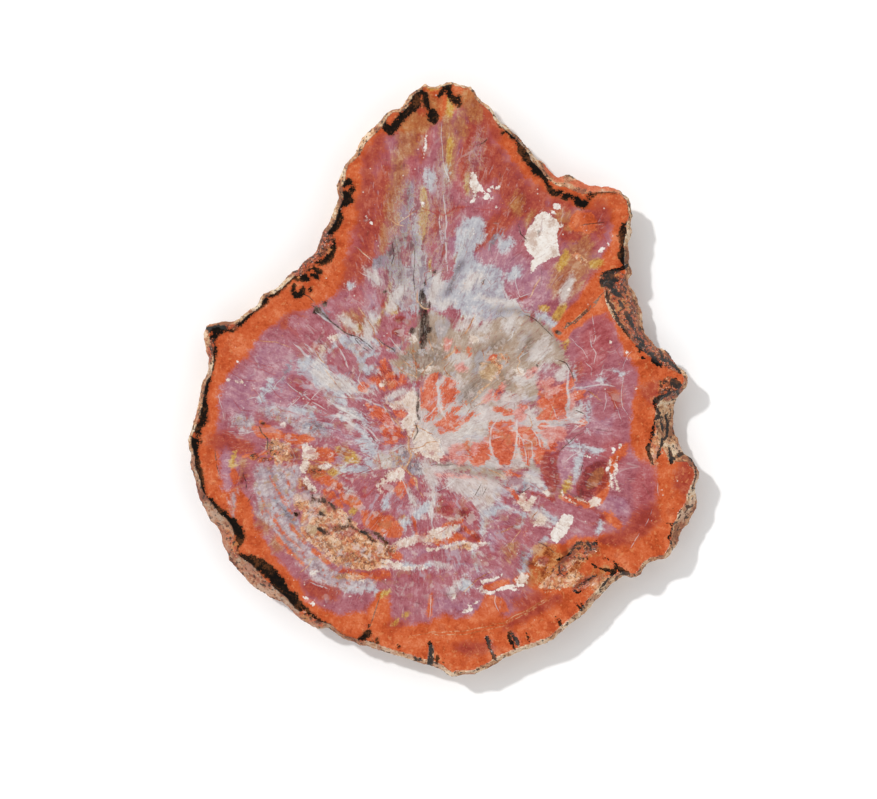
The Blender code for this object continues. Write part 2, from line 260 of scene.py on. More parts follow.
CHALCEDONY = Marking(
    "chalcedony", Tints.CHALCEDONY, soft=3.2, fray=2.6, wander=2.5, strength=0.92,
    loops=(
        ((8, 102), (16, 114), (26, 116), (30, 110), (30, 98), (22, 90), (26, 80), (34, 79), (41, 76),
         (42, 64), (46, 56), (54, 49), (66, 44), (62, 39), (46, 42), (30, 39), (16, 44), (4, 50),
         (-6, 48), (-12, 56), (-20, 46), (-30, 50), (-38, 60), (-36, 72), (-42, 80), (-34, 84),
         (-24, 80), (-20, 94), (-23, 110), (-22, 126), (-18, 122), (-17, 100), (-13, 90), (-9, 74),
         (-2, 68), (6, 72), (9, 84), (7, 94)),
        ((-102, 12), (-94, 20), (-86, 12), (-80, 20), (-77, 27), (-66, 31), (-56, 30), (-46, 19),
         (-50, 10), (-60, 2), (-70, -2), (-56, -3), (-46, -8), (-60, -11), (-68, -10), (-66, -20),
         (-78, -15), (-90, -5), (-99, 2)),
    ),
    patches=(
        (43, 95, 13, 9, 30), (-9, 139, 14, 6, 86), (2, 143, 10, 1.5, 84), (78, 37, 14, 7, -40),
        (70, 42, 20, 6, -28),
        (-57, -147, 22, 5, -5), (-60, -62, 26, 8, 12), (-48, -56, 20, 10, 30), (-38, -86, 14, 8, 30),
        (-28, -98, 10, 6, 0), (-38, -56, 18, 14, 0), (-15, -92, 20, 8, 30), (16, -143, 12, 10, 30),
        (23, -127, 10, 3, -60), (10, -128, 9, 4, -40), (62, -122, 13, 5, 30), (70, -113, 9, 3, 45),
        (57, -130, 16, 6, 80), (48, -74, 16, 14, 0), (35, -93, 20, 11, 20), (28, -104, 13, 5, 80),
        (95, -58, 26, 5, 75), (93, -47, 14, 6, -20), (105, -51, 14, 5, 0), (108, -103, 10, 3, 75),
        (100, -24, 20, 3, 85), (62, -10, 12, 6, 60), (95, -15, 18, 3, 85), (111, -1, 8, 4, 0),
        (122, 5, 8, 2, -25), (92, 0, 14, 3, 80), (64, -74, 26, 8, -20), (52, -100, 14, 5, 60),
        (76, -96, 18, 5, -35), (28, -60, 20, 5, 0),
        (-30, -104, 12, 6, 60), (-64, -24, 26, 6, -32), (-20, -130, 22, 5, 5), (-65, 66, 4, 3, 0),
        (-51, 23, 20, 9, 60), (-52, 5, 14, 6, 20), (-17, 56, 18, 11, 80), (-33, 22, 12, 6, 30),
        (51, -96, 16, 7, 20), (-84, -30, 18, 5, -28), (50, 73, 14, 8, 30),
    ),
    strokes=(
        (9, (-104, -20), (-88, -25), (-72, -30), (-58, -40), (-46, -52), (-40, -60)),
        (3, (-40, 36), (-30, 24), (-27, 14)),
        (4, (-120, 0), (-126, -10), (-128, -18)),
    ),
)

DUSK = Marking(
    "dusk", Tints.DUSK, soft=4.0, fray=2.4, wander=2.5, strength=0.9,
    loops=(
        ((-131, -62), (-115, -59), (-100, -62), (-102, -76), (-107, -88), (-99, -102), (-96, -112),
         (-84, -122), (-80, -132), (-62, -138), (-46, -138), (-48, -146), (-66, -150), (-80, -144),
         (-92, -136), (-102, -128), (-114, -116), (-122, -104), (-130, -93), (-134, -78)),
    ),
    patches=(
        (-110, -26, 36, 10, -18), (-146, -90, 20, 4, 85), (-92, -36, 30, 9, -15),
        (-140, -30, 20, 12, 0),
        (-20, 22, 20, 16, 0), (-26, 8, 18, 12, 0), (-36, -56, 26, 14, 10),
    ),
)

SLATE = Marking(
    "slate", Tints.SLATE, soft=2.6, fray=3.0, wander=2.0, strength=0.9,
    patches=(
        (-27, 107, 24, 5, 88), (-36, 84, 26, 8, 82), (-30, 77, 24, 5, 88), (-22, 95, 12, 8, 60),
        (-33, 92, 18, 10, 70), (-44, 82, 16, 7, 20), (-22, 12, 26, 16, -20), (-20, 24, 18, 10, 80),
        (-14, 10, 16, 10, 0), (-90, -33, 18, 7, -10), (-4, 37, 18, 13, 85), (-23, 128, 18, 5, 88),
        (-20, -62, 16, 10, -40), (-28, -54, 14, 7, 80), (-112, -92, 24, 5, -50), (35, 98, 12, 3, 60),
        (-110, 4, 12, 2, 60), (54, -78, 12, 3, 50), (-10, 77, 4, 4, 0), (-32, 22, 8, 5, 0),
        (5, 66, 16, 5, 60), (12, 78, 12, 4, 50), (55, -124, 10, 2, 80), (-84, 45, 10, 4, -40),
    ),
)

REEDS = Marking(
    "reeds", Tints.REEDS, soft=6.0, fray=4.0, wander=2.0, strength=0.42,
    patches=((-22, 98, 84, 34, 88), (-2, 112, 92, 14, 88), (-30, 68, 36, 34, 80), (22, 150, 50, 10, 80)),
)

HEART = Marking(
    "heart", Tints.TAUPE, soft=2.2, fray=2.4, wander=2.0,
    loops=(
        ((-26, 28), (-38, 11), (-28, 1), (-18, -2), (-5, 3), (2, 2), (10, -3), (14, -12), (10, -24),
         (20, -30), (30, -18), (38, -6), (48, -12), (58, -14), (63, -22), (68, -8), (62, 5), (72, 12),
         (80, 9), (87, 7), (84, 20), (78, 31), (66, 41), (50, 45), (36, 42), (22, 38), (10, 36),
         (-2, 46), (-10, 50), (-18, 40)),
        ((2, -60), (16, -60), (40, -63), (46, -68), (40, -70), (20, -66), (4, -64)),
        ((4, -28), (18, -30), (30, -30), (32, -38), (26, -42), (12, -42), (2, -40)),
    ),
    patches=((60, -60, 12, 10, 0), (-40, -56, 12, 14, 0), (-6, -34, 12, 6, 20)),
)

MILK = Marking(
    "milk", Tints.MILK, soft=4.0, fray=2.2, wander=2.0, strength=0.88,
    loops=(
        ((5, -66), (25, -67), (40, -71), (42, -79), (34, -90), (28, -96), (20, -86), (8, -80),
        (1, -74)),
        ((-22, -30), (-12, 2), (10, 3), (30, -6), (50, -14), (66, -22), (88, -4), (92, -20), (84, -34),
         (70, -52), (60, -62), (20, -62), (-10, -48), (-24, -48)),
        ((56, -66), (62, -60), (68, -63), (70, -72), (66, -75), (58, -71)),
    ),
    patches=(
        (-10, -66, 22, 10, -60), (-6, 62, 26, 9, 80), (0, 53, 16, 6, 0), (-78, 0, 30, 10, -20),
        (-85, 18, 14, 6, 60),
        (27, 36, 16, 9, 30), (47, 38, 15, 9, 70), (68, 21, 24, 12, 50), (12, 14, 16, 10, 0),
        (57, 1, 20, 12, 0), (18, -36, 26, 9, 10), (40, -24, 22, 5, 20), (26, 27, 12, 6, -30),
        (40, -12, 14, 7, 20), (38, 55, 24, 5, -10), (-62, -8, 26, 5, -10), (-42, -62, 18, 8, 40),
        (-24, -80, 22, 5, -62), (-70, -22, 30, 4, -30), (92, -24, 14, 12, 80), (52, -14, 18, 10, 40),
        (-3, -130, 9, 4, -30), (-7, -85, 26, 4, 88), (55, 24, 14, 5, 70), (70, 8, 16, 4, 20),
        (8, -146, 14, 5, 60), (30, -104, 14, 3, 80), (20, 68, 18, 8, 40), (30, -126, 10, 2, -60),
        (-51, 38, 22, 9, 70), (-34, 56, 22, 9, 55), (-50, 72, 16, 7, -50), (-67, 39, 18, 6, -30),
        (-33, -12, 18, 7, 20), (0, -62, 20, 8, 10), (-33, -78, 14, 6, 40), (68, -96, 16, 9, -30),
        (84, 5, 14, 8, 60), (-67, -78, 16, 4, -30), (17, 40, 18, 7, 20), (86, 63, 22, 7, 62),
    ),
)

SHADE = Marking(
    "shade", Tints.SHADE, soft=4.0, fray=3.2, wander=1.5, strength=0.7,
    patches=(
        (-9, 24, 30, 15, 85), (-15, 38, 20, 10, 88), (-15, 16, 34, 20, 10), (-17, 5, 16, 9, 60),
        (24, 12, 18, 8, 80), (38, 24, 18, 8, 30),
        (58, 23, 20, 9, 60), (42, 0, 16, 8, -50), (20, -8, 26, 14, 45), (0, 36, 18, 8, 40),
    ),
    strokes=(
        (2.6, (-14, -52), (4, -59), (20, -61), (40, -64), (54, -68)),
        (1.6, (-10, -56), (10, -65), (30, -68), (44, -73)),
        (2.4, (34, 48), (50, 48), (64, 42), (76, 32), (82, 20)), (2, (60, -60), (72, -66), (84, -80)),
    ),
)

ISLANDS = Marking(
    "islands", Tints.PLUM, soft=1.2, fray=2.4, wander=2.0, strength=0.95,
    loops=(
        ((-79, 18), (-72, 24), (-64, 20), (-61, 12), (-58, 4), (-68, 4), (-76, 4), (-80, 10)),
        ((-44, 40), (-36, 46), (-28, 46), (-24, 40), (-27, 32), (-30, 24), (-38, 24), (-45, 30)),
        ((-62, -70), (-50, -62), (-36, -63), (-40, -70), (-46, -79), (-56, -84), (-62, -80)),
        ((60, -104), (66, -103), (73, -107), (70, -112), (66, -118), (60, -116), (58, -110)),
        ((0, -90), (12, -90), (20, -91), (27, -97), (22, -104), (14, -100), (4, -97)),
        ((73, -88), (80, -87), (88, -91), (84, -95), (77, -94)),
        ((40, -103), (50, -104), (53, -112), (44, -116), (36, -110)),
    ),
    patches=(
        (-62, 3, 14, 6, -10), (-52, 13, 9, 6, 40), (-43, 13, 12, 7, 60), (-27, 24, 9, 5, 50),
        (-36, 17, 10, 4, -20), (-62, -16, 11, 8, 20), (-83, -17, 24, 8, -32), (-84, -27, 16, 6, -28),
        (-32, -85, 20, 14, 70), (62, -82, 11, 6, -20), (-97, 37, 24, 12, -20), (-90, 28, 22, 10, -20),
        (-100, 22, 14, 12, 0), (5, -126, 40, 8, -5), (-16, -126, 14, 6, 20), (32, -128, 18, 8, -20),
        (-100, -5, 22, 14, -35), (98, -95, 24, 9, -10), (-40, -48, 10, 4, -30), (48, -98, 14, 9, 20),
        (46, -84, 14, 7, -20), (-68, -34, 22, 7, -30), (112, -20, 20, 14, 80), (-46, 30, 4, 8, 60),
        (-52, 0, 10, 5, 20), (20, 117, 14, 5, 0), (-80, 40, 8, 5, 0),
    ),
)

BLOCKS = Marking(
    "blocks", Tints.VERMILION, soft=1.2, fray=2.0, wander=1.8, strength=0.96, grow=0.7,
    loops=(
        ((-12, -2), (-6, 0), (-5, -8), (-4, -15), (-3, -24), (-13, -28), (-10, -21), (-16, -18),
        (-15, -9)),
        ((4, 2), (9, -1), (10, -8), (8, -16), (1, -20), (0, -10), (-2, -6)),
        ((33, -30), (48, -29), (49, -42), (48, -58), (40, -60), (33, -51), (31, -40)),
        ((52, -32), (60, -34), (66, -40), (70, -50), (62, -50), (59, -60), (56, -54), (51, -42)),
        ((20, -46), (32, -42), (31, -56), (22, -60), (18, -52)),
        ((3, -25), (12, -27), (8, -34), (-3, -37), (-8, -32)),
        ((-54, -18), (-44, -20), (-36, -26), (-34, -32), (-40, -32), (-50, -26)),
        ((-44, -33), (-30, -33), (-27, -40), (-36, -46), (-42, -44)),
        ((68, -8), (76, -8), (86, -2), (87, -14), (86, -28), (67, -28), (66, -24), (75, -20),
        (67, -17)),
        ((66, -50), (72, -48), (74, -56), (68, -60), (63, -57)),
        ((16, -43), (19, -50), (14, -59), (11, -50)),
    ),
    patches=(
        (-56, -6, 8, 6, 0), (-34, -4, 9, 6, 20), (-30, -24, 9, 6, -20), (-42, 9, 9, 4, 60),
        (-29, 0, 8, 5, -60), (-45, -4, 12, 3, -50), (-50, -2, 10, 3, 0), (8, -22, 14, 2, 35),
        (42, -21, 12, 4, -10), (94, -11, 9, 6, 0), (90, -2, 7, 3, 80),
        (34, 15, 7, 4, 20), (55, -19, 6, 3, 0), (-30, -76, 10, 8, 80),
        (-36, 2, 6, 4, 0), (10, 20, 4, 3, 0), (17, 19, 3, 2, 60), (-6, 1, 9, 5, 50),
        (18, -27, 10, 2, 35), (12, -31, 12, 1.6, 30), (76, -47, 12, 4, 70), (38, -9, 9, 1.6, 60),
        (50, -66, 8, 2, -20), (46, -65, 5, 3, 0), (70, -33, 5, 4, 0), (97, -30, 6, 4, -60),
        (-22, -71, 5, 4, 0), (-6, -47, 7, 4, 70), (48, -80, 14, 3, -50), (90, -85, 12, 4, -40),
    ),
)

BLUSH = Marking(
    "blush", Tints.BLUSH, soft=1.4, fray=1.8, wander=1.4, strength=0.85,
    loops=(((10, -45), (16, -47), (17, -56), (10, -61), (2, -55), (3, -48)),),
    patches=(
        (77, -38, 18, 12, 0), (53, -24, 13, 9, 80), (72, -3, 14, 8, 20), (76, -8, 14, 6, 20),
        (-38, -29, 12, 5, -40), (31, -12, 14, 4, 55), (90, -16, 12, 4, 80), (40, -9, 14, 3, 60),
        (3, 26, 8, 6, 70), (-95, -155, 6, 4, 0), (30, -42, 12, 4, 20), (62, 6, 9, 5, 30),
        (12, 9, 8, 6, 0), (72, -56, 8, 5, 60), (8, -68, 30, 2, -5),
        (-1, -55, 6, 5, 0), (22, -48, 6, 9, 0), (60, 3, 6, 3, 20), (2, 24, 6, 7, 0),
    ),
)

EMBERS = Marking(
    "embers", Tints.ORANGE, soft=1.4, fray=1.8, wander=1.8, strength=0.95,
    loops=(
        ((-58, -92), (-45, -92), (-34, -97), (-28, -104), (-30, -111), (-42, -109), (-56, -102)),
        ((112, 62), (104, 66), (94, 56), (84, 46), (76, 36), (77, 29), (84, 27), (92, 36), (100, 42),
         (110, 46), (118, 50)),
        ((62, -128), (72, -118), (84, -114), (92, -110), (104, -112), (116, -116), (122, -126),
         (112, -140), (96, -150), (76, -150), (64, -142)),
        ((30, -150), (42, -152), (46, -162), (30, -168), (20, -167)),
    ),
    patches=(
        (-82, -71, 26, 9, -30), (-84, -53, 22, 9, 0), (-62, -135, 12, 4, 0), (-70, -133, 10, 4, 20),
        (-54, -137, 6, 6, 0), (-44, -137, 16, 8, 10), (-48, -122, 14, 3.5, 0), (-34, -124, 12, 5, -20),
        (6, -102, 18, 5, 18), (3, -112, 18, 7, 18), (13, -112, 5, 3.5, 0), (37, -143, 20, 6, 12),
        (-104, -45, 20, 6, -20), (-66, -85, 18, 8, -30), (-60, -128, 8, 3, 0), (95, -84, 12, 6, -20),
        (118, -98, 18, 6, -40), (-140, -98, 14, 30, 0), (-128, -36, 8, 12, 60), (-78, -84, 18, 7, -40),
        (-9, -158, 18, 4, 88), (20, -110, 20, 3, -40), (-100, -86, 12, 5, -50), (-20, -103, 18, 2, -75),
        (105, -130, 20, 10, -30), (98, 110, 20, 16, 0),
        (54, -139, 12, 4, 20), (-146, -68, 6, 14, 0), (-122, -33, 18, 4, -30), (100, -86, 12, 5, -30),
    ),
    strokes=(
        (7, (130, -45), (121, -56), (114, -68), (109, -82), (98, -88)),
        (6, (-130, -34), (-116, -40), (-102, -42), (-90, -42)),
        (3, (-107, -102), (-102, -108), (-96, -114)),
        (4, (-92, -118), (-86, -123), (-80, -129)), (1.6, (-122, -68), (-114, -82), (-106, -95)),
        (1.4, (-130, -80), (-122, -96), (-110, -110), (-100, -118)), (1.2, (-112, -64), (-108, -76)),
        (2, (-118, -108), (-108, -120), (-98, -130)),
        (3, (-142, -52), (-132, -54), (-122, -50)),
    ),
)

ROT = Marking(
    "rot", Tints.ROT, soft=3.0, fray=4.0, wander=2.0, strength=0.8,
    patches=(
        (84, -130, 44, 20, 30), (72, -121, 18, 12, 0), (101, -122, 22, 8, 20), (64, -129, 14, 8, 0),
        (106, -140, 24, 8, 36),
        (-112, -52, 22, 12, -10), (-96, -76, 16, 8, -60), (-60, -122, 40, 10, -10),
        (-90, -64, 14, 6, 0),
    ),
)

CREAM = Marking(
    "cream", Tints.CREAM, soft=1.2, fray=2.6, wander=2.0, strength=0.92,
    loops=(
        ((-42, -16), (-30, -14), (-20, -6), (-16, -14), (-19, -30), (-24, -38), (-28, -32), (-24, -24),
         (-34, -20)),
        ((-22, -36), (-14, -36), (-4, -42), (0, -52), (-4, -58), (-14, -54), (-22, -50)),
        ((99, -83), (104, -80), (109, -82), (107, -88), (102, -88)),
        ((62, -103), (70, -102), (72, -97), (68, -92), (65, -96)),
    ),
    patches=(
        (-34, -67, 12, 8, 40), (-92, -52, 10, 8, 0), (-83, -60, 12, 4, 5), (55, -84, 10, 7, 60),
        (55, -140, 8, 6, 0), (60, -87, 12, 5, 50), (-85, 22, 6, 7, 0), (-76, 29, 7, 4, 0),
        (-112, -31, 6, 3, 0), (-56, -141, 5, 3, 0), (15, -116, 6, 3, 0), (-22, 30, 6, 5, 0),
        (-12, 6, 10, 3, 20), (-145, -1, 16, 1.6, -5), (72, -80, 8, 4, -40), (88, -83, 12, 2, -40),
        (-90, -134, 6, 3, 0), (22, 27, 6, 5, 0), (53, 6, 8, 6, 0), (-43, -4, 5, 3, 0),
    ),
    strokes=(
        (4, (-96, -46), (-98, -56), (-99, -66)), (4, (-98, -69), (-94, -74), (-90, -79)),
        (5, (-10, -107), (0, -106), (10, -104)), (6, (-36, -116), (-20, -113), (-8, -110), (4, -109)),
        (4, (0, -118), (12, -116), (24, -118), (34, -114)), (3, (-12, -120), (0, -119)),
        (5, (-48, -129), (-36, -130), (-28, -132)), (2, (-30, -133), (-12, -131)),
        (2.4, (117, -57), (115, -68), (117, -77)), (1.8, (123, -54), (120, -66), (121, -79)),
        (2, (92, -81), (97, -82), (101, -85)), (2, (-2, -95), (4, -98), (10, -99)),
        (3, (-40, -70), (-46, -76), (-42, -80)),
    ),
)

SAND = Marking(
    "sand", Tints.SAND, soft=1.2, fray=2.4, wander=2.0, strength=0.95,
    loops=(
        ((-99, -92), (-92, -82), (-80, -86), (-71, -93), (-62, -102), (-50, -109), (-40, -113),
         (-30, -118), (-34, -123), (-45, -128), (-40, -131), (-56, -133), (-75, -130), (-83, -122),
         (-95, -110), (-101, -101)),
        ((147, -14), (153, -22), (148, -28), (147, -38), (144, -48), (145, -59), (149, -60), (152, -50),
         (155, -45), (157, -58), (161, -58), (164, -52), (160, -42), (160, -26), (157, -15)),
    ),
    patches=(
        (32, 7, 15, 13, 0), (-116, -48, 16, 10, -20), (-102, -86, 10, 12, 0), (-66, -138, 24, 4, 0),
        (80, -141, 22, 10, 25), (92, -141, 16, 8, 30), (84, -131, 14, 5, 30), (96, -124, 10, 8, 0),
        (110, -144, 16, 9, 40), (-116, -56, 12, 4, 0), (12, -118, 16, 4, 0), (44, 16, 6, 9, 60),
        (70, -128, 12, 3, 0), (96, 85, 9, 3, -30), (-8, -112, 10, 4, 0), (-86, -100, 14, 5, 0),
    ),
)

OXBLOOD = Marking(
    "oxblood", Tints.OXBLOOD, soft=1.2, fray=1.6, wander=1.2, strength=0.82,
    loops=(
        ((-41, 58), (-41, 51), (-44, 47), (-48, 44), (-46, 50)),
        ((71, -50), (77, -53), (84, -47), (80, -56), (80, -63), (82, -72), (79, -78), (75, -80),
         (71, -73), (68, -62)),
    ),
    patches=(
        (105, -70, 31, 18, 48), (1, -92, 8, 12, 80), (16, -95, 12, 8, -20), (21, -112, 11, 6, 0),
        (56, 57, 8, 2.5, 15), (62, 44, 8, 3, 80), (-67, -122, 3, 3, 0),
        (12, -106, 7, 3, 15), (70, -127, 8, 6, 0), (-31, 42, 9, 5, 0), (9, -97, 7, 3, 40),
        (76, -84, 6, 5, 0), (-33, 33, 6, 5, 0), (102, -119, 5, 2, 0), (-140, -70, 3, 10, -20),
        (69, -76, 3, 2, 0), (62, -80, 9, 2, -20), (0, 90, 10, 1.2, 88),
    ),
)

CORES = Marking(
    "cores", Tints.TAN, soft=1.4, fray=1.2, wander=1.0, strength=0.9,
    patches=((31, 6, 14, 12, 0), (-92, -105, 9, 7, 0), (-85, -93, 7, 4, 0)),
)

KERNEL = Marking(
    "kernel", Tints.KERNEL, soft=1.0, fray=1.0, wander=1.0, strength=0.9,
    patches=((106, -69, 19, 8, 50),),
)

QUARTZ = Marking(
    "quartz", Tints.QUARTZ, soft=0.5, fray=1.3, wander=1.2,
    loops=(
        ((56, 98), (60, 107), (65, 115), (71, 117), (77, 113), (81, 108), (79, 103), (80, 95), (81, 87),
         (76, 85), (71, 82), (66, 79), (63, 73), (61, 80), (63, 85), (58, 91)),
        ((18, 124), (21, 129), (19, 136), (20, 145), (23, 145), (24, 138), (27, 134), (23, 129),
        (21, 124)),
        ((90, -96), (84, -95), (76, -104), (75, -112), (79, -115), (85, -109), (90, -101)),
        ((26, -140), (34, -138), (42, -135), (42, -137), (34, -141), (29, -142), (28, -147), (24, -146),
         (27, -143)),
    ),
    patches=(
        (30, 128, 5, 4, 70), (31.5, 132, 3, 3, 0), (33.5, 134.5, 2.4, 2, 0), (38, 133.5, 3.4, 3, 0),
        (34, 126, 4, 1.6, 80), (37.5, 121, 3, 2.4, 0), (27, 132, 2.6, 2, 0), (79.5, 120.5, 6, 4, -20),
        (77, 116, 3, 2.6, 0), (82, 108, 4, 2.6, 20), (7, -152, 4.6, 3, 80), (88, 62.5, 3.4, 2, 60),
        (84, 69, 1.6, 1.4, 0), (-54, 112, 5, 1.4, 80), (-50.5, 110, 3.6, 1.6, -70),
        (116, 26, 2.4, 2, 0),
        (128, 19, 2.4, 2, 0), (134, -7, 2, 1.6, 0), (-70, 63, 2, 1.6, 0), (-15.5, 122.5, 3.6, 1.2, 85),
        (112, 92, 3.4, 2, -50), (110, 90, 2.4, 1.6, 0), (115, 95, 3, 1.2, -50), (-97, -153, 5, 2, 0),
        (-92, -157, 4, 3, 0), (-144, 12, 2.6, 1, -40), (46, -145, 10, 3, 12), (54, -144, 6, 3, 0),
        (50, -147, 5, 1.6, 0), (-12.5, 164, 17, 1.1, 84),
        (21, 102, 2.2, 1.8, 0), (100, -54, 6, 1.8, -10), (18, -161, 10, 2.6, 25),
        (22, -156, 8, 1.8, 20),
        (118, 57, 5, 1.8, -40), (127, 50, 6, 1.6, 10), (-64, -152, 4, 1.4, 0), (-98, -143, 1.2, 2, 0),
        (122, -60, 1.6, 3, 0), (115, -62, 2, 3, 0), (116, -73, 2, 2, 0), (119, -50, 2, 4, -20),
        (124, -47, 1.6, 4, -30), (117, -68, 1.6, 4, 10),
        (67, -154, 1.4, 1.2, 0), (-70, -46, 1.2, 1, 0), (-52, -3, 1, 2, 0), (-81, -60, 6, 2.4, 5),
    ),
    strokes=((2.4, (26, -147), (34, -149), (41, -146)),),
)

UMBER = Marking(
    "umber", Tints.UMBER, soft=0.9, fray=1.5, wander=1.0, strength=0.95,
    patches=(
        (-22, 34, 4, 4, 0), (-10.5, 35, 6, 4, 60), (-6, 75.5, 4, 2.4, 30), (-83, 54, 5, 3.5, 60),
        (-88.5, 48.5, 6, 4, 40), (-41, 61, 3, 1.6, 20), (-18, 8, 3, 2, 0),
        (28, 68, 4, 1.4, 70), (66, 9.5, 2, 2, 0), (80, 33, 5, 3, 0),
        (-126, -31, 4, 3, 0), (-103, -94.5, 2, 1.2, 0), (83, -134, 2, 2, 0),
    ),
    strokes=(
        (6, (-15.5, 62), (-15, 52), (-14, 42), (-14, 32), (-14.5, 22)), (2, (-10, 54), (-11, 46)),
        (1.4, (-13, 70), (-13.5, 60)), (2.4, (-12, 46), (-11.5, 37), (-12, 31)),
        (1.5, (-17.5, -7), (-18, -14), (-18.5, -22), (-17, -29)),
    ),
)

VEINS = Lines(
    "veins", Tints.VEIN, wander=1.4, fray=0.5, strength=0.66,
    strokes=(
        (0.9, (-112, -2), (-104, -8), (-97, -11), (-90, -17), (-82, -21)),
        (1.6, (-97, 24), (-93, 20)), (2, (-104, 24), (-98, 18), (-92, 13), (-86, 8)),
        (1.4, (-73, 21), (-69, 14), (-67, 8)), (0.8, (-38, 30), (-34, 25), (-30, 20)),
        (2.2, (-76, -25), (-66, -30), (-58, -36), (-52, -42)),
        (1.3, (-68, -12), (-56, -14), (-48, -17), (-42, -19), (-37, -25), (-33, -31)),
        (1.5, (-80, -14), (-70, -21), (-60, -28), (-52, -35), (-46, -42)),
        (2.2, (88, 6), (87, -5), (88, -15), (87, -26), (93, -30), (99, -31)),
        (0.9, (65, -28), (76, -29), (87, -28), (104, -28)), (1.8, (68, -32), (76, -33), (86, -32)),
        (1.8, (37, -27), (33, -35), (32, -42), (33, -50), (36, -56), (39, -60)),
        (1.7, (51, -26), (51, -36), (50, -44), (49, -52), (47, -60)),
        (1.1, (51, -36), (55, -42), (57, -50), (58, -59)), (0.9, (54, -41), (62, -43), (62, -58)),
        (1.3, (61, -34), (66, -40), (68, -48)),
        (2.2, (-4, -1), (-3, -10), (-3, -18), (-1, -24), (1, -28)),
        (1.2, (-3, -17), (-8, -22), (-13, -26)), (1.2, (-15, -34), (-8, -40), (-2, -46), (0, -51)),
        (0.6, (104, 44), (105, 37), (107, 31), (105.5, 25)),
        (0.7, (103, 29), (104, 23), (107, 18), (106, 11)),
        (0.5, (88, 29), (93, 23), (97, 20), (101, 15)), (0.6, (100, 12), (104, 8), (104, 3)),
        (1.6, (111, 6), (110, 0), (111, -4)), (1.3, (92, -6), (100, -5), (110, -4), (119, -4)),
        (0.5, (125, 0), (125, -12), (125, -20), (131, -28)), (0.5, (120, -17), (122, -23), (124, -29)),
        (0.6, (150, -72), (150, -80)),
        (0.5, (131, 19), (128, 16), (126, 11), (125, 7)), (0.6, (-0.5, 177), (-1, 165), (0, 152)),
        (0.9, (0, 152), (2, 143), (4, 138)),
        (1.5, (0, 130), (1, 120), (2, 110), (1, 100), (2, 88), (3, 76)),
        (1.1, (-3, 116), (-3, 104), (-1, 95)), (0.7, (52, 76), (51, 68), (52, 62), (53, 57)),
        (0.9, (68, 49), (66, 40)), (0.7, (20, 55), (38, 54), (50, 56), (60, 60)),
        (1.8, (41, 66), (45, 56)),
        (0.6, (146, -92), (142, -101)), (0.6, (137, -109), (131, -117)),
        (1.2, (-93, -142), (-86, -144), (-80, -147)),
        (0.5, (-158, -10), (-156, -18), (-154, -27)),
        (1.3, (-6, -79), (-6, -86), (-7, -95), (-8, -104)), (1, (86, -58), (95, -50), (94, -44)),
        (0.7, (-136, -14), (-126, -12), (-118, -4), (-112, 2)),
        (0.5, (-130, -35), (-142, -38), (-150, -37)),
        (0.8, (-60, 92), (-56, 88), (-51, 84)),
        (0.8, (-23, -85), (-26, -76), (-30, -68)), (0.8, (9, -70), (2, -76), (-6, -79)),
        (0.8, (-46, 66), (-52, 72), (-58, 74)), (0.8, (37, -150), (36, -156), (38, -162)),
        (0.7, (-9, -152), (-8.5, -160), (-9, -168)), (0.8, (113, -10), (114, -16), (112, -22)),
        (0.7, (90, -36), (96, -32), (98, -28)), (0.9, (40, -40), (33, -42)),
        (0.9, (46, -36), (51, -36)),
        (0.8, (79, -28), (78, -22), (76, -18)), (0.8, (60, 20), (53, 16), (55, 12)),
        (0.8, (18, -22), (12, -14)),
        (0.8, (30, -24), (20, -34), (14, -40)), (0.8, (24, -20), (28, -24), (27, -29)),
        (0.8, (-56, -6), (-60, -2), (-59, 5)), (0.8, (-100, -21), (-92, -14), (-87, -8)),
        (0.7, (-108, -20), (-102, -14), (-96, -8)), (0.8, (-78, -30), (-74, -25), (-70, -22)),
        (0.8, (-62, -30), (-56, -30), (-50, -33)), (0.8, (-42, -50), (-34, -50), (-26, -46)),
        (1.4, (-88, 47), (-83, 43), (-78, 40)), (1, (40, 20), (48, 30), (50, 38)),
    ),
)

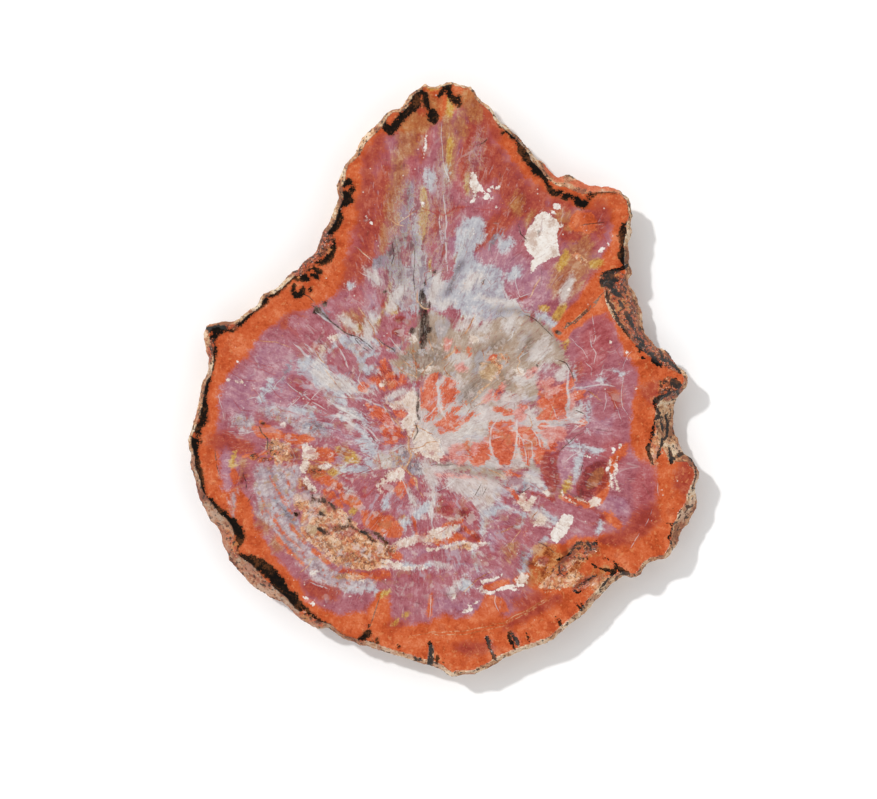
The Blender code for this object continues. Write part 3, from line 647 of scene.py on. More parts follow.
SEAMS = Lines(
    "seams", Tints.SEAM, wander=1.0, fray=0.25, strength=0.85,
    strokes=(
        (0.7, (-20, -180), (-8, -177), (5, -176.3), (15, -175.5), (30, -172.5), (42, -170), (50, -165),
         (60, -161), (72, -153)),
        (0.6, (72, -155), (60, -163), (50, -167.5), (42, -172.3), (30, -175), (15, -178), (5, -178.6),
         (-6, -178.6)),
        (1, (-60, 50), (-54, 42), (-50, 37), (-48, 30), (-44, 25), (-36, 21)),
        (1.7, (-24, -38), (-25, -49), (-22.5, -53), (-24, -58), (-27, -63)),
        (1.9, (-28, -61), (-22, -67), (-19, -70), (-18, -76)), (1, (-18, -76), (-14, -82)),
        (1, (-26, -49), (-20, -48), (-13, -46)), (1, (-42, -17), (-38, -24), (-32, -30), (-25, -40)),
        (1.3, (-27, -63), (-32, -58), (-32, -54)), (1.6, (22, 44), (18, 36), (14, 30)),
        (2, (9, 22), (4, 17), (0, 14)), (0.9, (3, 11), (0, 8), (3, 4), (8, 1)),
        (0.9, (-21, 25), (-22, 18), (-20, 12), (-19, 5), (-18, -2)), (1.1, (-10, 28), (-7, 20)),
        (1.1, (28, -8), (22, -13), (19, -16), (20, -20), (16, -25)), (1.6, (32, -3), (24, -9)),
        (1, (58, 23), (52, 16), (54, 13), (52, 9), (54, 4)), (0.9, (27, 20), (28, 14)),
        (1, (-18, 0), (-12, 8), (-8, 12)), (0.8, (-32, 9), (-26, 4), (-18, 1)),
        (1, (-27, 12), (-22, 8)),
        (1, (-20, -32), (-15, -35), (-8, -39)), (1.4, (-19, 60), (-19, 54), (-15, 50), (-9, 49)),
        (0.9, (-101, -135), (-95, -130), (-92, -126)), (0.8, (-62, 93), (-57, 89), (-52, 85)),
        (0.8, (-19, 118), (-24, 115), (-32, 110)), (0.9, (-36, 112), (-32, 109), (-28, 108)),
        (1, (-90, 20), (-86, 14), (-80, 9)), (0.8, (-83, 8), (-80, 3), (-75, -3)),
        (0.9, (30, -62), (38, -66), (44, -70)), (0.9, (78, -18), (76, -22), (74, -28)),
        (1.2, (-22, -40), (-20, -34), (-18, -30)), (1, (100, -8), (105, -11), (110, -15)),
        (0.8, (54, -106), (50, -110), (48, -114)), (1, (38, -108), (44, -106), (50, -102)),
        (1, (-14, -45), (-8, -44), (-4, -44)), (1, (66, -100), (62, -96), (66, -92)),
        (1.2, (-95, -58), (-94, -62), (-96, -66)), (1, (-100, -55), (-90, -57), (-82, -57), (-76, -60)),
        (1, (-88, -68), (-80, -66), (-77, -60)), (0.8, (-133, 28), (-118, 26), (-108, 22)),
        (1, (14, -150), (24, -139), (34, -134)), (1, (83, 34), (92, 42), (100, 50)),
        (0.8, (22, -19), (30, -14)),
        (1.4, (68, 70), (64, 64), (61, 58)), (1, (57, -36), (62, -32), (60, -26)),
    ),
)

CHERRY = Lines(
    "cherry", Tints.CHERRY, wander=1.0, fray=0.3, strength=0.55,
    strokes=(
        (1.2, (-45, -46), (-46, -50), (-44, -58), (-43, -63)), (1.8, (-78, -75), (-68, -78), (-57, -83),
         (-52, -81), (-48, -76)),
        (0.9, (-66, -76), (-62, -71), (-57, -68)),
        (1.3, (-70, -47), (-58, -50), (-50, -54), (-44, -60)),
        (0.8, (-138, 14), (-126, 10), (-118, 8)), (0.8, (-132, 9), (-122, 5), (-116, 3)),
        (0.9, (-76, -12), (-68, -13), (-60, -13)), (1.4, (-6, -92), (-5, -86), (0, -84)),
        (1, (2, -86), (6, -90), (9, -84)), (0.9, (4, -84), (8, -82)), (2.4, (67, -81), (77, -84)),
        (1, (-74, -64), (-66, -68), (-60, -66), (-52, -62)), (0.9, (-60, -58), (-52, -60), (-48, -64)),
        (1, (-17, 120), (-12, 119), (-6, 117)),
        (1.6, (-6, 119), (0, 115), (4, 117), (10, 120), (18, 121)),
        (0.9, (22, 120), (34, 119), (42, 117)), (0.8, (-24, 116), (-20, 121)),
        (1, (-148, 4), (-140, 0), (-130, -1)),
        (0.9, (-148, -14), (-142, -22), (-134, -22)), (0.9, (-117, -18), (-112, -22), (-106, -23)),
        (1, (-97, -26), (-92, -28)), (0.9, (-116, -22), (-118, -27), (-122, -26)),
        (1, (-93, -40), (-90, -36)),
        (1, (-143, -48), (-138, -50), (-130, -52)), (1.2, (-142, -62), (-144, -70), (-146, -76)),
        (0.9, (-160, -50), (-158, -60), (-156, -67), (-150, -68)),
        (0.8, (-11, 62), (-14, 74), (-6, 77)),
        (1, (0, 96), (0, 90), (-1, 84)), (0.8, (-18, 72), (-18, 66)),
        (1, (-20, 54), (-20, 46), (-21, 40)),
        (0.9, (72, -78), (66, -76), (60, -72)), (1, (96, -32), (90, -31), (84, -32)),
        (0.8, (98, 62), (102, 74), (106, 72)), (1, (52, 53), (56, 47), (60, 46)),
        (1, (-4, -108), (2, -104)),
        (0.9, (-12, -118), (-6, -114), (0, -113)), (1, (-60, -46), (-54, -44)),
        (1, (118, 88), (110, 104)),
        (1.3, (-29, -62), (-24, -66), (-20, -68)), (0.8, (126, 26), (120, 20), (126, 12)),
        (0.8, (-122, -4), (-118, -10), (-112, -14)), (0.8, (-134, -6), (-128, -12), (-126, -18)),
    ),
)

CRACKS = Lines(
    "cracks", Tints.CRACK, wander=0.8, fray=0.3, strength=0.9,
    strokes=(
        (1.4, (-92, 52), (-86, 48), (-80, 42), (-75, 37), (-70, 33), (-66, 31), (-60, 30)),
        (1, (-60, 30), (-55, 26), (-49, 21)), (0.9, (-62, 28), (-57, 23), (-53, 20)),
        (1.1, (112, 60), (104, 53), (96, 45), (88, 38), (80, 33)),
        (0.8, (82, 32), (87, 40), (92, 39.5), (99, 46), (106, 52.5), (110, 57)),
        (1.1, (-20, -30), (-18, -36), (-21, -42)),
        (1, (-129, -32), (-127, -37), (-123, -41), (-123, -49)),
        (0.9, (80, 14), (86, 11), (90, 5), (91.5, -1)), (0.9, (57, 45), (64, 42), (70, 36), (76, 30)),
        (0.9, (-45, -153), (-50, -168), (-53, -178)),
        (0.8, (-160, -50), (-159, -60), (-157, -67)),
        (0.8, (60, -76), (54, -80), (50, -78)), (0.8, (26, -74), (22, -82)),
        (0.7, (30, -76), (26, -84)),
        (0.9, (90, -20), (98, -24)), (0.8, (102, -50), (98, -58), (96, -66)),
        (0.8, (82, -50), (88, -44), (92, -40)),
        (0.9, (24, 164), (28, 166), (31, 169)), (0.7, (-100, 60), (-94, 58), (-90, 54)),
        (1, (52, 108), (54, 102), (58, 98)), (0.8, (97, 108), (104, 109), (112, 110)),
        (0.9, (-36, 96), (-34, 88), (-36, 80)), (0.7, (-20, 96), (-20, 84), (-21, 72), (-20, 58)),
        (0.8, (-8, -60), (0, -60), (6, -60)), (0.8, (-52, -38), (-47, -44)),
        (0.8, (-140, -66), (-138, -72), (-138, -78)), (0.7, (-134, -80), (-137, -86)),
        (1, (-46, 29), (-43, 26), (-36, 22), (-32, 18)), (0.8, (66, -114), (74, -118), (78, -122)),
    ),
)

GLOW = Marking(
    "glow", Tints.ORANGE, soft=1.0, fray=2.2, wander=1.5, strength=0.9,
    patches=((78, 144, 20, 7, -40), (100, 135, 24, 5, -12), (118, 133, 16, 4, -8), (24, 202, 14, 4, -55)),
)

RUST = Marking(
    "rust", Tints.RUST, soft=1.2, fray=2.2, wander=1.5, strength=0.95,
    loops=(
        ((110, 74), (124, 76), (129, 72), (131, 62), (136, 48), (139, 35), (147, 24), (161, 13),
         (168, 2), (160, 6), (150, 10), (140, 20), (128, 31), (122, 42), (118, 52), (113, 60),
         (108, 66)),
        ((-100, 72), (-90, 80), (-80, 90), (-76, 100), (-82, 104), (-88, 92), (-100, 82), (-108, 74)),
        ((90, -116), (98, -113), (106, -116), (104, -121), (98, -128), (90, -124)),
        ((91, -147), (96, -144), (104, -138), (109, -136), (104, -142), (97, -149)),
        ((-99, -161), (-90, -167), (-82, -173), (-86, -175), (-95, -170), (-101, -165)),
    ),
    patches=(
        (159, -7, 18, 16, 0), (-118, -52, 9, 3, 0), (-88, -64, 12, 3, 0), (-132, -54, 6, 4, 0),
        (-124, -56, 8, 3, 0),
        (95, -117, 8, 5, 0), (82, -134, 8, 10, 60), (-163, 20, 18, 4, 85), (160, 14, 12, 6, -50),
        (-148, -115, 20, 6, -65), (75, -133, 12, 4, 10), (-152, 37, 14, 3, 0),
    ),
)

SOOT = Marking(
    "soot", Tints.SOOT, soft=0.35, fray=2.3, wander=0.9, grow=0.1,
    patches=(
        (-68, 137, 8, 5, 20), (-66, 127, 8, 5, -30),
        (-83, -86, 2, 4, 60), (-89, -85, 4, 1, 0), (-78, -89, 5, 1, -50), (-56, -107, 6, 1.4, -10),
        (-50, -112, 4, 1.4, -30), (-44, -110, 8, 1.2, -35), (-92, -81, 1, 4, 0), (-66, -99, 1.4, 3, 0),
        (-86, -94, 3, 0.8, 0), (-72, -104, 6, 0.8, 0), (-61, -105, 6, 0.8, -20),
        (-39, -114, 4, 0.8, -20),
        (-85, -106, 7, 1.6, -30), (-103, -94.5, 2.6, 1.2, 0), (-56, -180, 6, 4, 30),
    ),
    strokes=(
        (3.5, (-40, 188), (-43, 181), (-40, 177)),
        (5.5, (-40, 178), (-37, 174), (-34, 177), (-31, 181)),
        (4.2, (-32, 180), (-27, 186), (-24, 189), (-19, 191)),
        (6.5, (-20, 189), (-20, 198), (-17, 204)),
        (3.4, (-24, 200), (-17, 203)), (3.4, (-17, 204), (-13, 199), (-12, 193), (-10, 187)),
        (6, (-9.5, 188), (-5.5, 180.5)), (3.6, (2.5, 207), (4, 201), (6.5, 196)),
        (4.2, (6, 198), (9, 192.5)), (1.8, (10, 198), (11.5, 191)),
        (1.8, (-1, 208), (0, 203), (-3, 199)),
        (1.6, (34, 192), (37, 187), (40, 181)), (3.4, (39, 181), (43, 178), (46, 173)),
        (2, (42, 173), (46, 175)), (4.6, (47, 174), (52, 168), (56, 162)),
        (7.5, (54, 164), (58, 158), (61, 152)), (6, (60, 153), (65, 146), (70, 143)),
        (2.6, (69, 143), (72, 137), (76, 132)), (3.6, (74, 132), (79, 130), (83, 131)),
        (3.4, (84, 127.5), (90, 127), (96, 126)), (5, (92, 125), (98, 122.5), (101, 125)),
        (2.4, (101, 124), (103, 129), (108, 132)),
        (2.2, (106, 132), (113, 131.5), (119, 131.5), (124, 133)),
        (1.8, (125, 132), (129, 127), (131, 121), (131, 114)), (3, (131, 110), (126, 107)),
        (5.5, (126, 108), (125.5, 101), (127, 94)), (6.5, (125, 92), (126, 87), (128, 81)),
        (4.5, (-179, -42), (-171, -43)), (5, (-174, -43), (-174, -52), (-173.5, -62)),
        (5.6, (-173, -60), (-171, -72), (-167, -83)), (6.4, (-166, -84), (-161, -89), (-157, -94)),
        (7.5, (-159, -92), (-152, -99), (-146, -104), (-140, -109)), (5.6, (-140, -108), (-144, -114),
         (-146, -119), (-147, -124)),
        (5, (-148, -123), (-138, -125), (-130, -129)), (8.5, (-134, -128), (-125, -133), (-116, -139)),
        (8.5, (-119, -137), (-115, -145), (-111, -150)),
        (8.5, (-114, -149), (-107, -153), (-103, -156)),
        (6, (-106, -154), (-101, -159), (-95, -164)),
        (4.4, (-98, -162), (-90, -168), (-84, -172), (-78, -176)),
        (3.4, (-76, -177), (-70, -181), (-63, -182)), (4.6, (-59, -182), (-54, -179), (-52, -176)),
        (1.6, (-52, -184), (-46, -186)), (1.4, (-46, -182), (-46.5, -187)),
        (4.2, (-164, 12), (-164.5, 3), (-166.5, -5), (-168.5, -13)),
        (5.2, (-168.5, -10), (-168, -20), (-168, -29)),
        (4, (-165, -29), (-170, -31), (-173, -34), (-170, -38)), (3, (-160, 22), (-162, 12), (-164, 5)),
        (4.4, (-163, 20), (-163, 28), (-160, 33), (-153, 35)),
        (4, (-155, 36), (-148, 36), (-144, 39), (-138, 44)),
        (4, (-140, 43), (-133, 48), (-127, 54), (-122, 59)), (3.8, (-124, 58), (-117, 61), (-112, 67),
         (-105, 73)),
        (3.6, (-106, 62), (-103, 58), (-99, 60), (-98, 64)), (4.4, (-106, 72), (-100, 72), (-94, 70)),
        (3, (-98, 76), (-92, 78), (-86, 75)), (2.6, (-92, 73), (-87, 71)), (2, (-92, 65), (-94, 61)),
        (4.4, (-96, 80), (-90, 83), (-85, 82), (-79, 85)), (5.6, (-80, 84), (-79, 91), (-78, 98)),
        (3.4, (-87, 97), (-84, 90)), (5.6, (-86, 100), (-80, 103), (-76, 106)),
        (7.5, (-79, 103), (-75, 110), (-73, 116)), (7.5, (-76, 114), (-75, 121), (-71, 124)),
        (4.4, (-72, 121), (-66, 125), (-64, 127)), (3, (-64, 131), (-67, 129), (-71, 131)),
        (3.4, (-64, 135), (-64, 131)), (2.4, (-74, 137), (-71, 145), (-69, 151), (-62, 157)),
    ),
)

CLEFTS = Marking(
    "clefts", Tints.SOOT, soft=0.35, fray=1.8, wander=0.9,
    patches=(
        (131, 41, 14, 4, -62), (163, -3, 9, 5, -20), (157, -10, 6, 3, 30), (114, 67, 11, 7, -20),
        (121, 61, 10, 4, -40), (125, 52, 8, 3, -60),
        (139, 24, 6, 3, 0), (119, -135, 5, 4, 0), (-101, 59, 8, 3, -10), (-105, 64, 3, 7, 0),
        (-160, 36, 16, 4, 5),
    ),
    strokes=(
        (3.4, (129, 80), (122, 77), (115, 74), (111, 74)), (4, (112, 74), (116, 70), (122, 69)),
        (2.6, (114, 61), (116, 54), (120, 47), (123, 39)), (2.4, (123, 39), (128, 33), (131, 28)),
        (2, (131, 28), (137, 29), (141, 26)), (2.4, (134, 24), (138, 22.5), (141, 25)),
        (2, (136, 18.5), (140, 21), (143, 18), (147, 18)), (2, (138, 15), (141, 15.5)),
        (4, (146, 16), (148, 11), (152, 9)), (3, (151, 14), (158, 12), (163, 8), (167, 4)),
        (2, (152, 20), (154, 14)), (2.4, (157, 20), (162, 14)), (2.4, (164, 1), (158, -4)),
        (3.4, (155, -11), (150, -14), (147, -17)), (2.6, (147, -17), (151, -24), (147, -29)),
        (2.4, (147, -29), (146, -40), (143, -50)), (2.6, (143, -48), (145, -54), (146, -60)),
        (2.2, (150, -27), (156, -27), (158, -33), (157, -40), (153, -44)),
        (1.6, (160, -12), (163, -16)),
        (2, (152, -30), (154, -37)), (2.2, (150, -56), (152, -47), (154, -40)),
        (2, (163, -8), (166, -12)),
        (3, (158, -48), (160, -55), (159, -60)), (2, (160, -56), (165, -54), (170, -53)),
        (1.2, (171, -53), (176, -60), (177, -68), (174, -78)),
        (1.4, (168, -87), (172, -90), (170, -93)),
        (1.2, (161, -90), (166, -92), (164, -98), (160, -102), (155, -100)),
        (1.2, (174, -95), (170, -98)),
        (1.2, (160, -104), (158, -112), (161, -118)), (2, (91, -121), (92, -116), (97, -113.5)),
        (1.6, (100, -114), (104, -118), (107, -113)), (1.3, (107, -114), (106, -119), (102, -121)),
        (1.3, (80, -127), (87, -123), (90, -121)), (1.3, (100, -124), (104, -129), (108, -132)),
        (1.9, (107, -132), (114, -134), (119, -135)), (2.8, (118, -127), (122, -133), (129, -137)),
        (2.6, (122, -129), (120, -134), (117, -138)), (1.4, (111, -125), (118, -127)),
        (1.8, (90, -146), (93, -149), (97, -149)), (1.6, (96, -145), (102, -141), (108, -137)),
        (1.6, (109, -147), (113, -144), (116, -140)), (1.2, (110, -150), (114, -147)),
        (1.5, (92, -157), (97, -162)), (1.2, (95, -156), (99, -161)), (2.2, (79, -167), (83, -173)),
        (1.4, (58, -178), (60, -185)), (2.2, (45.5, -178), (50, -189)), (2, (49, -177), (53, -187)),
        (1.6, (46, -177), (50, -177)), (2.4, (30, -179), (32, -188), (36, -197)),
        (3.6, (-9, -184), (-9, -194), (-9, -203)), (1.6, (-4, -194), (-4.5, -200)),
        (1.2, (0, -195), (0, -200)),
        (1.4, (-31, -186), (-31, -192)), (1.2, (-52, -170), (-53, -178)),
        (2, (-20, -194), (-18, -198)), (2, (-16, -194), (-17, -198)),
    ),
)

MARKINGS: tuple[Marking, ...] = (
    HEARTWOOD, ROSE, WINE, BRICK, AMBER, OCHRE, CHALCEDONY, DUSK, SLATE, REEDS, HEART,
    MILK, SHADE, ISLANDS, BLOCKS, BLUSH, EMBERS, ROT, CREAM, SAND, OXBLOOD, CORES,
    KERNEL, QUARTZ, UMBER, VEINS, SEAMS, CHERRY, CRACKS, SOOT, GLOW, RUST, CLEFTS,
)


class Region(Enum):
    """Where small flecks may lie on the cut face."""

    INNER = "inner wood"
    REDDER = "inner wood outside the pale heart"
    GREY = "grey arc"
    RIM = "orange rim"


@dataclass(frozen=True)
class Flecks:
    """Small marks of one colour that a pattern scatters over the stone.

    The marks start where the pattern's value passes low and are full at high, and low may be above high.
    Share is how much they cover what is under them. Size is the pattern's in millimetres, and seed moves
    it to a place of its own. Those on the rays are drawn out from the pith.
    """

    colour: str
    share: float
    low: float
    high: float
    size: float = 1.0
    seed: float = 0.0
    region: Region = Region.INNER
    on_rays: bool = False


DRIFTS = (
    Flecks("#A23C46", 0.5, 0.56, 0.63, 9.0, 130.0, Region.REDDER),
    Flecks("#C0C0CA", 0.4, 0.57, 0.64, 7.0, 170.0, on_rays=True),
    Flecks("#B8906A", 0.3, 0.57, 0.64, 9.0, 210.0),
    Flecks("#E0CFC8", 0.45, 0.58, 0.65, 7.0, 250.0),
    Flecks("#BC4C3C", 0.4, 0.6, 0.67, 5.0, 290.0, Region.REDDER, on_rays=True),
    Flecks("#D2CED0", 0.5, 0.55, 0.62, 4.5, 330.0, Region.GREY),
    Flecks("#B8946A", 0.55, 0.57, 0.64, 6.0, 370.0, Region.GREY),
    Flecks("#C4552F", 0.6, 0.59, 0.66, 3.6, 410.0, Region.GREY),
    Flecks("#AA4022", 0.4, 0.54, 0.61, 8.0, 450.0, Region.RIM),
    Flecks("#E49A66", 0.4, 0.58, 0.65, 3.2, 490.0, Region.RIM),
    Flecks("#9A3418", 0.4, 0.6, 0.67, 2.2, 530.0, Region.RIM),
)
STREAKS = (Flecks("#E0D2D0", 0.2, 0.58, 0.68), Flecks("#8A3A40", 0.3, 0.43, 0.34))
HAIRLINES = (
    Flecks("#DCD2CC", 0.22, 0.03, 0.009, 9.0),
    Flecks("#8E3A40", 0.32, 0.04, 0.012, 5.5, 300.0),
    Flecks("#5A4438", 0.35, 0.013, 0.0039, 14.0, 700.0),
)
CRYSTALS = (
    Flecks("#E9DCD0", 0.75, 0.15, 0.06, 5.0, 20.0),
    Flecks("#4A2A1C", 0.5, 0.135, 0.054, 3.6, 70.0),
    Flecks("#DC9A6A", 0.55, 0.195, 0.078, 2.8, 140.0),
)
CRUMBS = (
    Flecks("#C4552A", 0.8, 0.5, 0.56, 3.0, 93.0),
    Flecks("#120904", 0.92, 0.55, 0.59, 2.4, 74.4),
    Flecks("#DA9668", 0.75, 0.6, 0.64, 2.0, 62.0),
    Flecks("#E8C0B4", 0.8, 0.63, 0.68, 1.5, 46.5),
)
RED_GRAINS = Flecks("#C4643C", 0.7, 0.74, 0.8)
PALE_GRAINS = Flecks("#EAD2BC", 0.5, 0.74, 0.8)
GRAIN_OUTLINES = Flecks("#5E3220", 0.6, 0.09, 0.03, 3.4)
GRAIN_GAPS = Flecks("#4A2818", 0.75, 0.6, 0.64, 2.0, 17.0)
CRUST_STAIN = Flecks("#9A5038", 0.5, 0.5, 0.62, 11.0, 5.0)
CRUST_SPECKS = Flecks("#2A1C13", 0.85, 0.56, 0.61, 2.6, 29.0)
# Makes the crust darker towards the lower left.
LOWER_LEFT_DARKENING = Flecks("#8E4A3C", 0.5, -205.0, -255.0)
SOOT_HALO = Flecks("#6A371D", 1.0, -1.8, 0.6)


@dataclass
class Painter:
    """Turns the drawn markings to distances at the points of a mesh, in millimetres.

    Attributes:
        places: the points, in millimetres, one row each.
        reach: distances are cut off at this.
        flow: sizes of the slow and the quick part of the stone's flow, which moves the markings.
        quick_share: how much of the flow is quick.
        tip: share of its width that a stroke keeps at its ends.
        taper: how fast it grows from there.
    """

    places: Points
    reach: float = 12.0
    flow: tuple[float, float] = (17.0, 5.0)
    quick_share: float = 0.5
    tip: float = 0.45
    taper: float = 4.0
    warp: Points = field(init=False)

    def __post_init__(self) -> None:
        """Works out once how the stone's flow moves each point."""
        broad, fine = self.flow
        moves = np.empty((len(self.places), 2))
        for i, (x, y) in enumerate(self.places.tolist()):
            slow = noise.noise_vector(Vector((x / broad, y / broad, 1.5)))
            quick = noise.noise_vector(Vector((x / fine, y / fine, 7.5)))
            moves[i] = (slow.x + self.quick_share * quick.x, slow.y + self.quick_share * quick.y)
        self.warp = moves

    @staticmethod
    def _to_segment(places: Points, start: Point, end: Point) -> tuple[Points, Points, Points]:
        """Measures points against one straight segment.

        Args:
            places: the points.
            start: one end of the segment.
            end: its other end.

        Returns:
            How far along it each point is, from 0 to 1, the distance to it, and the side it is on.
        """
        first = np.array(start, float)
        span = np.array(end, float) - first
        offset = places - first
        along = np.clip(offset @ span / max(span @ span, TINY), 0, 1)
        gap = offset - along[:, None] * span
        side = np.sign(span[0] * offset[:, 1] - span[1] * offset[:, 0])
        return along, np.hypot(gap[:, 0], gap[:, 1]), side

    def inside_loop(self, places: Points, loop: tuple[Point, ...]) -> Points:
        """Measures points against a closed outline.

        Args:
            places: the points.
            loop: the corners of the outline.

        Returns:
            The distance to it, positive inside.
        """
        nearest = np.full(len(places), np.inf)
        inside = np.zeros(len(places), bool)
        x, y = places.T
        for (x0, y0), (x1, y1) in zip(loop, (*loop[1:], loop[0])):
            nearest = np.minimum(nearest, self._to_segment(places, (x0, y0), (x1, y1))[1])
            if y0 != y1:
                inside ^= ((y0 > y) != (y1 > y)) & (x < (x1 - x0) * (y - y0) / (y1 - y0) + x0)
        return np.where(inside, nearest, -nearest)

    @staticmethod
    def inside_patch(places: Points, patch: tuple[float, ...]) -> Points:
        """Measures points against an oval.

        Args:
            places: the points.
            patch: its x, y, length, width and turn in degrees.

        Returns:
            The rough distance to its border, positive inside.
        """
        x, y, length, width, turn = patch
        cos, sin = math.cos(math.radians(turn)), math.sin(math.radians(turn))
        offset = places - np.array((x, y))
        along = (offset @ np.array((cos, sin))) / (length / 2)
        across = (offset @ np.array((-sin, cos))) / (width / 2)
        far = np.hypot(along, across)
        steep = np.hypot(along / (length / 2), across / (width / 2)) / np.maximum(far, TINY)
        return (1 - far) / np.maximum(steep, 2 / max(length, width))

    def near_stroke(self, places: Points, stroke: Stroke) -> tuple[Points, Points, Points]:
        """Measures points against a tapering line.

        Args:
            places: the points.
            stroke: its full width, and the points that it runs through.

        Returns:
            The distance to its middle, its half width there, and the side of it.
        """
        width, *points = stroke
        steps = [math.dist(a, b) for a, b in zip(points, points[1:])]
        total = sum(steps)
        best = np.full(len(places), np.inf)
        half = np.zeros(len(places))
        flank = np.ones(len(places))
        walked = 0.0
        for start, end, step in zip(points, points[1:], steps):
            along, gap, side = self._to_segment(places, start, end)
            share = (walked + along * step) / total
            closer = gap < best
            best = np.where(closer, gap, best)
            taper = np.minimum(1, self.tip + self.taper * np.minimum(share, 1 - share))
            half = np.where(closer, width / 2 * taper, half)
            flank = np.where(closer, side, flank)
            walked += step
        return best, half, flank

    def area(self, marking: Marking) -> Points:
        """Measures the mesh's points against all of a marking's areas.

        Args:
            marking: the marking.

        Returns:
            The distance to its border, positive inside.
        """
        places = self.places + marking.wander * self.warp
        found = np.full(len(places), -self.reach)
        for loop in marking.loops:
            found = np.maximum(found, self.inside_loop(places, loop))
        for patch in marking.patches:
            found = np.maximum(found, self.inside_patch(places, patch))
        for stroke in marking.strokes:
            gap, half, _ = self.near_stroke(places, stroke)
            found = np.maximum(found, half - gap)
        return np.clip(found + marking.grow, -self.reach, self.reach)

    def lines(self, marking: Lines) -> tuple[Points, Points]:
        """Measures the mesh's points against the nearest of a marking's lines.

        Args:
            marking: the marking.

        Returns:
            The place across the line, -1 at one edge and 1 at the other, and the distance past its edge.
        """
        places = self.places + marking.wander * self.warp
        past = np.full(len(places), self.reach)
        across = np.full(len(places), self.reach)
        for stroke in marking.strokes:
            gap, half, side = self.near_stroke(places, stroke)
            closer = gap - half < past
            past = np.where(closer, gap - half, past)
            across = np.where(closer, side * gap / half, across)
        return np.clip(across, -self.reach, self.reach), past


